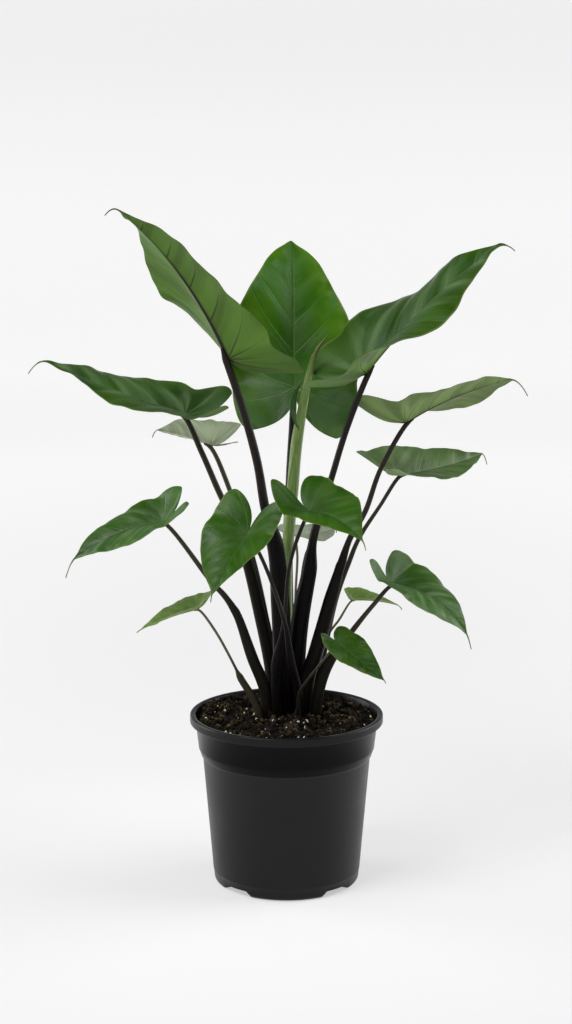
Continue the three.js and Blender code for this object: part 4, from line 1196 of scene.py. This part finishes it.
class Blade:
    """A blade laid out flat, then carried onto its bent and folded midrib.

    v runs from -1 at the lobe tips through 0 at the petiole to 1 at the tip.
    """

    def __init__(self, leaf):
        self.leaf = leaf
        self.at = np.array(leaf["at"], float)
        line = np.array(leaf["tip"], float) - self.at
        self.length = float(np.linalg.norm(line))
        self.along = unit(line)
        self.across = unit(np.cross(self.along, (0, 0, 1)))
        self.face = np.cross(self.across, self.along)

    def frame(self, v):
        roll = np.radians(self.leaf["roll"] + self.leaf["twist"] * np.maximum(v, 0))[..., None]
        across = self.across * np.cos(roll) - self.face * np.sin(roll)
        face = self.face * np.cos(roll) + self.across * np.sin(roll)
        return across, face

    def distance(self, v):
        return v * self.length * np.where(v < 0, self.leaf["lobe"], 1)

    def midrib(self, v, k):
        """The midrib ahead of the petiole, and behind it the line that a lobe follows"""
        leaf, length = self.leaf, self.length
        across, face = self.frame(v)
        lift = np.maximum(-v, 0)**LOBE_LIFT_CURVE * leaf["lobe"] * length
        ahead = np.maximum(v, 0)
        bulge = 4 * ahead * (1 - ahead) * length
        bend = leaf["tail"] * DRIP_BEND
        drip = np.maximum(0, (v - 1 + bend) / bend)**2 * leaf["drip"] * length
        out = lift * math.sin(math.radians(leaf["rise"][k])) + leaf["arch"] * bulge
        point = self.at + self.along * self.distance(v)[..., None]
        point = point + face * out[..., None] + across * (leaf["bow"] * bulge)[..., None]
        return point - drip[..., None] * np.array([0, 0, 1.0])

    def margins(self, v, half):
        """Flat distance from the midrib line to the inner and outer margins"""
        r = np.maximum(-v, 0)
        rounding = (1 - np.minimum(r, 1)**LOBE_CURVE)**LOBE_ROUNDING
        behind = LOBE_SPREAD + (BLADE_OUTLINE[0][1] - LOBE_SPREAD) * rounding
        tail, ahead = self.leaf["tail"], np.maximum(v, 0)
        body = through(self.leaf.get("outline", BLADE_OUTLINE), np.minimum(1, ahead / (1 - tail)))
        thread = THREAD_WIDTH * np.minimum(1, (1 - ahead) / tail)
        outer = np.where(v < 0, behind, np.maximum(body, thread))
        q = np.clip((r - SINUS_START) / (1 - SINUS_START), 0, 1)
        inner = LOBE_SPREAD * (1 - (1 - q**SINUS_CURVE)**SINUS_ROUNDING)
        return np.minimum(inner, outer) * half, outer * half

    def fold_at(self, v, k):
        fold, lobe_fold = self.leaf["fold"][k], self.leaf["lobe_fold"][k]
        ahead = fold * (1 - v * (1 - TIP_FOLD))
        behind = fold + (lobe_fold - fold) * smoothstep(0, 1, -v)
        return np.radians(np.where(v < 0, behind, ahead))

    def surface(self, side, v, t, relief):
        """Middle surface of one half, with each point's flat place and its share of the half's width"""
        k = 0 if side < 0 else 1
        leaf = self.leaf
        v, t = np.meshgrid(v, t, indexing="ij")
        inner, outer = self.margins(v, leaf["halves"][k])
        x = inner + (outer - inner) * t
        s = np.where(outer > 0, x / np.maximum(outer, 1e-9), 0)
        fold = self.fold_at(v, k)
        y = self.distance(v)
        turns = leaf["waves"] * y / self.length
        ripple = leaf["wave"][k] * s * s * np.sin(math.pi * 2 * turns + math.radians(leaf["phase"][k]))
        rise = x * np.sin(fold) + outer * (CAMBER * 4 * s * (1 - s) + ripple)
        rise = rise + relief(x / self.length, y / self.length, s, side) * self.length
        across, face = self.frame(v)
        point = self.midrib(v, k) + across * (side * x * np.cos(fold))[..., None] + face * rise[..., None]
        place = np.stack([side * x / self.length, y / self.length, np.zeros_like(x)], -1)
        return point.reshape(-1, 3), place.reshape(-1, 3), s.ravel()


def between_veins(x, y):
    """0 on a side vein and 1 half way to the next, on the flat blade"""
    order = (y - x * (VEIN_SLOPE + VEIN_BEND * x)) / VEIN_SPACING
    reach = np.hypot(x, y)
    angle = np.arctan2(x, y)
    fan = (angle - FAN_FIRST + FAN_BEND * reach) / FAN_STEP
    step = np.where(angle > FAN_FROM, fan, order)
    return np.abs(np.sin(math.pi * step))


def quilting(depth, seed):
    """Relief of a blade in shares of its length: swollen between veins, with an uneven margin"""
    phases = np.random.default_rng(seed).uniform(0, math.pi * 2, len(MARGIN_RIPPLES))

    def relief(x, y, s, side):
        swell = between_veins(x, y)**0.8 * smoothstep(0.02, 0.3, s) * (1 - 0.75 * smoothstep(0.7, 1, s))
        calm = smoothstep(0.01, 0.1, np.hypot(x, y)) * smoothstep(1.0, 0.75, y)
        uneven = sum(
            np.sin(f * y + phases[i] + side * i) * a
            for i, (f, a) in enumerate(MARGIN_RIPPLES))
        return depth * swell * calm + uneven * s**3
    return relief


def blade_piece(leaf, material):
    """Fine closed blade with its rib underneath, in rows and columns about 2 mm apart"""
    blade = Blade(leaf)
    blade_rows = int(np.clip(blade.length / 2.0, 40, 92))
    lobe_rows = max(16, int(blade_rows * leaf["lobe"] * 1.1))
    columns = int(np.clip(max(leaf["halves"]) / 2.1, 14, 30))
    v = np.concatenate([-np.sin((1 - np.arange(lobe_rows) / lobe_rows) * math.pi / 2),
                        1 - (1 - np.arange(blade_rows + 1) / blade_rows)**TIP_ROW_SPACING])
    t = np.concatenate([(np.arange(columns) / columns)**COLUMN_SPACING * MARGIN_COLUMN,
                        [MARGIN_COLUMN, 1.0]])
    relief = quilting(QUILT_DEPTH, sum(map(ord, leaf["name"])))
    points, places, shares, faces = [], [], [], []
    for side in (-1, 1):
        net, place, share = blade.surface(side, v, t, relief)
        quads = strip_faces(len(v), len(t), start=len(points) * len(v) * len(t))
        faces += quads if side > 0 else [tuple(reversed(face)) for face in quads]
        points.append(net)
        places.append(place)
        shares.append(share)
    points, faces, (place, share) = weld(
        np.vstack(points), faces, np.vstack(places), np.concatenate(shares))
    x, y = np.abs(place[:, 0]) * blade.length, place[:, 1]
    rib_half = leaf["top"] * (1 - RIB_TAPER * np.clip(y, 0, 1)) * smoothstep(-0.035, 0.0, y)
    rib = np.sqrt(np.clip(1 - (x / np.maximum(rib_half, 1e-3))**2, 0, 1)) * rib_half
    rib *= leaf["rib"] / leaf["top"] * smoothstep(1.0, 0.85, y) * RIB_SWELL
    groove = GROOVE_DEPTH * np.exp(-(x / GROOVE_WIDTH)**2)
    groove *= smoothstep(0.0, 0.06, y) * smoothstep(0.98, 0.8, y)
    body = BLADE_THICKNESS + (MARGIN_THICKNESS - BLADE_THICKNESS) * smoothstep(0.55, 1, share)
    solid, faces = thicken(points, faces, body / 2 - groove, body / 2 + rib)
    place = np.vstack([place, place])
    place[:len(points), 2] = 1
    attributes = {"leaf_place": place, "leaf_edge": np.concatenate([share, share])}
    return mesh_piece(f"leaf_blade_{leaf['name']}", solid, faces, material, attributes)


class ALOCASIA_OT_blades(bpy.types.Operator):
    """Builds the arrow-shaped leaf blades"""

    bl_idname = "alocasia.blades"
    bl_label = "Build Leaf Blades"

    def execute(self, context):
        settings = context.scene.alocasia_leaf
        shared = dict(upper=settings.upper, under=settings.under, vein=settings.vein,
                      roughness=settings.roughness)
        looks = {key: leaf_material(**{**shared, **look}) for key, look in LEAF_LOOKS.items()}
        for leaf in LEAVES:
            piece = blade_piece(leaf, looks[leaf["look"]])
            hand_over(piece, "leaf_green", f"blade_{leaf['name']}")
        return {"FINISHED"}


# Petioles

def petiole_route(leaf):
    """From the socket in the soil up to the blade, then bent forward into its rib"""
    blade = Blade(leaf)
    _, face = blade.frame(np.array(0.0))
    radius = leaf["top"]
    foot = leaf["stem"][0]
    below = blade.at - face * (BLADE_THICKNESS / 2 + RIB_DEEP * radius)
    ahead = blade.midrib(np.array(RIB_REACH * radius / blade.length), 0)
    inside = ahead - face * (BLADE_THICKNESS / 2 + RIB_END * radius)
    return [(foot[0], foot[1], STEM_DEPTH_Z, foot[3]), *leaf["stem"], (*below, radius),
            (*inside, radius * RIB_END)]


def stem_rings(route, sides, step=2.2):
    """Rings of a petiole, the run along it, its share of black and the angles round it

    It is a sheath with a seam on its inner side, then a smooth stalk.
    """
    spots, radii = centripetal(route, step)
    tangents, across, beside = frames_along(spots)
    inward = np.array([*SEAM_AXIS, SEAM_RISE]) - spots * np.array([1, 1, 0])
    inward = inward - tangents * (inward * tangents).sum(1, keepdims=True)
    inner_angle = np.arctan2((inward * beside).sum(1), (inward * across).sum(1))
    half = (radii[0] + radii[-1]) / 2
    top = int(np.argmax(radii[::-1] > half))
    sheath_end = spots[len(spots) - 1 - top, 2]
    sheathed = smoothstep(sheath_end + 2, sheath_end - 2, spots[:, 2])
    shoulder = smoothstep(sheath_end - SHOULDER_LENGTH, sheath_end - 4, spots[:, 2]) * sheathed
    angles = full_turn(sides)
    off = (angles[None] - inner_angle[:, None] + math.pi) % (math.pi * 2) - math.pi
    lips = np.exp(-((np.abs(off) - SEAM_LIP_OFFSET) / SEAM_WIDTH)**2)
    groove = np.exp(-(off / SEAM_WIDTH)**2) - SEAM_LIP_SHARE * lips
    swell = np.exp(-(off / SHOULDER_WIDTH)**2)
    factor = 1 - SEAM_DEPTH * groove * sheathed[:, None] + SHOULDER_SWELL * swell * shoulder[:, None]
    rings, ring = rings_about(spots, radii, factor, across, beside, angles)
    end = spots[-1] + tangents[-1] * radii[-1] * np.array([[0.5], [0.8]])
    caps = [end[i] + ring[-1] * radii[-1] * share for i, share in enumerate((0.85, 0.5))]
    run = run_along(spots)
    run = np.concatenate([run, run[-1] + np.array([1, 2])])
    black = np.concatenate([smoothstep(sheath_end + SHEATH_FADE, sheath_end - 6, spots[:, 2]), [0, 0]])
    return np.concatenate([rings, caps]), run, black, angles


def stem_piece(name, route, material, sides, tone):
    """Petiole with its attributes; tone is its share of the young colour, which the sheath mostly hides"""
    rings, run, black, angles = stem_rings(route, sides)
    points, faces = capped_tube(rings)
    sheath = np.concatenate([np.repeat(black, sides), black[[0, -1]]])
    attributes = {"stem_place": round_places(run, angles, STALK_STREAK), "stem_sheath": sheath,
                  "stem_tone": tone * (1 - 0.75 * sheath)}
    return mesh_piece(name, points, faces, material, attributes)


def old_sheath_piece(material):
    """Small dry pointed sheaths at the foot of the stems"""
    points, faces, places = [], [], []
    for x, y, height, lean, radius in OLD_SHEATHS:
        route = [(x, y, SOIL_EDGE_Z - 8, radius), (x, y, SOIL_EDGE_Z + 4, radius),
                 (x + lean * 0.5, y, SOIL_EDGE_Z + height * 0.65, radius * 0.7),
                 (x + lean, y, SOIL_EDGE_Z + height + 3, radius * 0.12)]
        rings, run, _, angles = stem_rings(route, 20, step=1.5)
        shape, sides = capped_tube(rings)
        faces += [tuple(i + len(points) for i in face) for face in sides]
        points += shape.tolist()
        places.append(round_places(run, angles, STALK_STREAK))
    attributes = {"stem_place": np.vstack(places), "stem_sheath": np.ones(len(points))}
    return mesh_piece("old_sheaths", points, faces, material, attributes)


class ALOCASIA_OT_petioles(bpy.types.Operator):
    """Builds the black petioles with their sheaths"""

    bl_idname = "alocasia.petioles"
    bl_label = "Build Petioles"

    def execute(self, context):
        material = stem_material()
        sides = context.scene.alocasia_stem.sides
        for leaf in LEAVES:
            tone = YOUNG_STALKS.get(leaf["name"], 0)
            piece = stem_piece(f"leaf_stalk_{leaf['name']}", petiole_route(leaf), material, sides, tone)
            hand_over(piece, "black_stem", f"petiole_{leaf['name']}")
        hand_over(old_sheath_piece(material), "black_stem")
        return {"FINISHED"}


# New leaf

def rolled_leaf_piece(material):
    """A rolled blade: its free edge steps round the roll as it climbs"""
    sides = 64
    spots, radii = centripetal(NEW_LEAF_ROUTE, 1.8)
    _, across, beside = frames_along(spots)
    run = run_along(spots)
    angles = full_turn(sides)
    seam = ROLL_SEAM + ROLL_TURNS * math.pi * 2 * (run / run[-1] - ROLL_SEAM_SHARE)
    wound = ((angles[None] - seam[:, None]) % (math.pi * 2)) / (math.pi * 2)
    factor = 1 + ROLL_OVERLAP * (wound - 0.5)
    rings, _ = rings_about(spots, radii, factor, across, beside, angles)
    points, faces = capped_tube(rings)
    place = round_places(run, angles, ROLL_STREAK)
    return mesh_piece("rolled_new_leaf", points, faces, material, {"stem_place": place})


def free_margin_piece(material):
    """The part of the new leaf's margin that has come free of the roll"""
    rows, columns = 40, 8
    w = np.linspace(0, 1, rows)
    knots = np.linspace(0, 1, len(MARGIN_ROOT))
    root = np.stack([through(list(zip(knots, axis)), w) for axis in zip(*MARGIN_ROOT)], -1)
    edge = np.stack([through(list(zip(knots, axis)), w) for axis in zip(*MARGIN_EDGE)], -1)
    t = np.linspace(0, 1, columns)[None, :, None]
    belly = np.array([0, -FREE_MARGIN_BELLY, 0]) * (4 * t * (1 - t)) * np.sin(math.pi * w)[:, None, None]
    net = root[:, None] * (1 - t) + edge[:, None] * t + belly
    faces = strip_faces(rows, columns)
    points = net.reshape(-1, 3)
    half = np.full(len(points), FREE_MARGIN_THICKNESS / 2)
    solid, faces = thicken(points, faces, half, half)
    place = np.zeros_like(solid)
    place[:, 0] = np.tile(np.repeat([np.linspace(0.05, 0.3, columns)], rows, 0).ravel(), 2)
    place[:, 1] = np.tile(np.repeat(w, columns), 2)
    place[:, 2] = 1
    share = np.tile(np.repeat([np.linspace(0, 1, columns)], rows, 0).ravel(), 2)
    return mesh_piece("new_leaf_margin", solid, faces, material, {"leaf_place": place, "leaf_edge": share})


class ALOCASIA_OT_new_leaf(bpy.types.Operator):
    """Builds the new leaf, still rolled, with the margin that has come free"""

    bl_idname = "alocasia.new_leaf"
    bl_label = "Build New Leaf"

    def execute(self, context):
        hand_over(rolled_leaf_piece(new_leaf_material()), "new_leaf_green", "new_leaf")
        dark = leaf_material("Free new margin", (0.022, 0.085, 0.008), (0.05, 0.12, 0.02),
                             (0.04, 0.11, 0.015), 0.4, shine=0.2)
        hand_over(free_margin_piece(dark), "leaf_green")
        return {"FINISHED"}


# Stage

def area_light(name, place, target, size, power):
    """Large soft light that looks at a target"""
    data = bpy.data.lights.new(name, "AREA")
    data.shape = "RECTANGLE"
    data.size, data.size_y = size
    data.energy = power
    lamp = bpy.data.objects.new(name, data)
    lamp.location = place
    lamp.visible_camera = False
    lamp.rotation_mode = "QUATERNION"
    lamp.rotation_quaternion = (Vector(target) - Vector(place)).to_track_quat("-Z", "Y")
    bpy.context.collection.objects.link(lamp)


def floor_piece(colour, glow):
    """Round floor that curves up far behind the camera's place and glows up to the top of the view"""
    profile = [(r, 0.0) for r in (0.01, 0.5, 1, 2, 3, 4, FLOOR_RADIUS)]
    profile += [(FLOOR_RADIUS + BACKDROP_BEND * math.sin(a), BACKDROP_BEND * (1 - math.cos(a)))
                for a in np.linspace(0, math.pi / 2, 16)[1:]]
    profile.append((FLOOR_RADIUS + BACKDROP_BEND, BACKDROP_TOP))
    angles = full_turn(FLOOR_STEPS)
    points = [(r * math.cos(a) / MM, r * math.sin(a) / MM, z / MM) for r, z in profile for a in angles]
    faces = strip_faces(len(profile), FLOOR_STEPS, closed=True)
    faces.append(tuple(reversed(range(FLOOR_STEPS))))
    material, nodes, shader = new_material("Pale studio floor")
    cloud = nodes.noise(nodes.place(), 0.8, 2.0)
    base = nodes.mix(nodes.ramp(cloud, 0.3, 0.7), rgba(colour), rgba(colour, 0.985))
    nodes.feed(shader.inputs["Base Color"], base)
    shader.inputs["Roughness"].default_value = 0.8
    shader.inputs["Specular IOR Level"].default_value = 0.15
    parts = nodes.split(nodes.place())
    level = nodes.combine(parts[0], parts[1])
    away = nodes.add("ShaderNodeVectorMath", {0: level}, operation="LENGTH").outputs["Value"]
    # The glow grows away from the pot, with a little more round its foot, and falls with height
    rising = nodes.math("ADD", nodes.ramp(away, 0.5, 2.8, glow * 0.91, glow * 1.52),
                        nodes.ramp(away, 2.9, 4.4, 0.0, glow * 0.09))
    rising = nodes.math("ADD", rising, nodes.ramp(away, 0.15, 0.5, glow * 0.1, 0.0))
    rising = nodes.math("ADD", rising, nodes.ramp(parts[2], 0.3, 1.1, 0.0, glow * -0.17))
    fading = nodes.ramp(parts[2], *GLOW_FADE, 1.0, 0.1)
    shader.inputs["Emission Color"].default_value = (1, 1, 1, 1)
    nodes.feed(shader.inputs["Emission Strength"], nodes.math("MULTIPLY", rising, fading))
    material.cycles.emission_sampling = "NONE"
    return mesh_piece("studio_floor", points, [tuple(reversed(face)) for face in faces], material)


class ALOCASIA_OT_stage(bpy.types.Operator):
    """Makes the camera, the soft studio light and the pale floor"""

    bl_idname = "alocasia.stage"
    bl_label = "Build Stage"

    def execute(self, context):
        settings = context.scene.alocasia_stage
        scene = context.scene
        data = bpy.data.cameras.new("Camera")
        data.lens = settings.lens
        data.shift_x = LENS_SHIFT
        data.clip_end = VIEW_DEPTH
        camera = bpy.data.objects.new("Camera", data)
        camera.location = (0, -settings.distance, settings.height)
        camera.rotation_euler = (math.pi / 2 - settings.pitch, 0, 0)
        context.collection.objects.link(camera)
        scene.camera = camera

        world = bpy.data.worlds.new("Even studio light")
        world.use_nodes = True
        sky = world.node_tree.nodes["Background"]
        sky.inputs["Color"].default_value = (1, 1, 1, 1)
        sky.inputs["Strength"].default_value = settings.sky
        scene.world = world
        scene.view_settings.view_transform = "Standard"

        for name, place, size, power in LAMPS:
            area_light(name, place, PLANT_MIDDLE, size, getattr(settings, power))
        floor_piece(settings.floor, settings.glow)
        return {"FINISHED"}


class ALOCASIA_PT_panel(bpy.types.Panel):
    """Lists the parts of the plant and their settings"""

    bl_idname = "ALOCASIA_PT_panel"
    bl_label = "Potted Alocasia"
    bl_space_type = "VIEW_3D"
    bl_region_type = "UI"
    bl_category = "Alocasia"

    def draw(self, context):
        for group, operator in PARTS:
            box = self.layout.box()
            box.operator(operator)
            if group:
                settings = getattr(context.scene, group)
                for field in settings.bl_rna.properties:
                    if field.identifier not in {"rna_type", "name"}:
                        box.prop(settings, field.identifier)


SETTINGS = {
    "alocasia_stage": StageSettings,
    "alocasia_pot": PotSettings,
    "alocasia_soil": SoilSettings,
    "alocasia_stem": StemSettings,
    "alocasia_leaf": LeafSettings,
}
PARTS = (
    ("alocasia_stage", "alocasia.stage"),
    ("alocasia_pot", "alocasia.pot"),
    ("alocasia_soil", "alocasia.soil"),
    ("alocasia_stem", "alocasia.petioles"),
    ("alocasia_leaf", "alocasia.blades"),
    (None, "alocasia.new_leaf"),
)
CLASSES = (
    *SETTINGS.values(), ALOCASIA_OT_stage, ALOCASIA_OT_pot, ALOCASIA_OT_soil, ALOCASIA_OT_petioles,
    ALOCASIA_OT_blades, ALOCASIA_OT_new_leaf, ALOCASIA_PT_panel,
)


def register():
    for cls in CLASSES:
        bpy.utils.register_class(cls)
    for name, group in SETTINGS.items():
        setattr(bpy.types.Scene, name, PointerProperty(type=group))


def unregister():
    for name in SETTINGS:
        delattr(bpy.types.Scene, name)
    for cls in reversed(CLASSES):
        bpy.utils.unregister_class(cls)


def main():
    register()
    bpy.ops.alocasia.stage()
    bpy.ops.alocasia.pot()
    bpy.ops.alocasia.soil()
    bpy.ops.alocasia.petioles()
    bpy.ops.alocasia.blades()
    bpy.ops.alocasia.new_leaf()


if __name__ == "__main__":
    main()
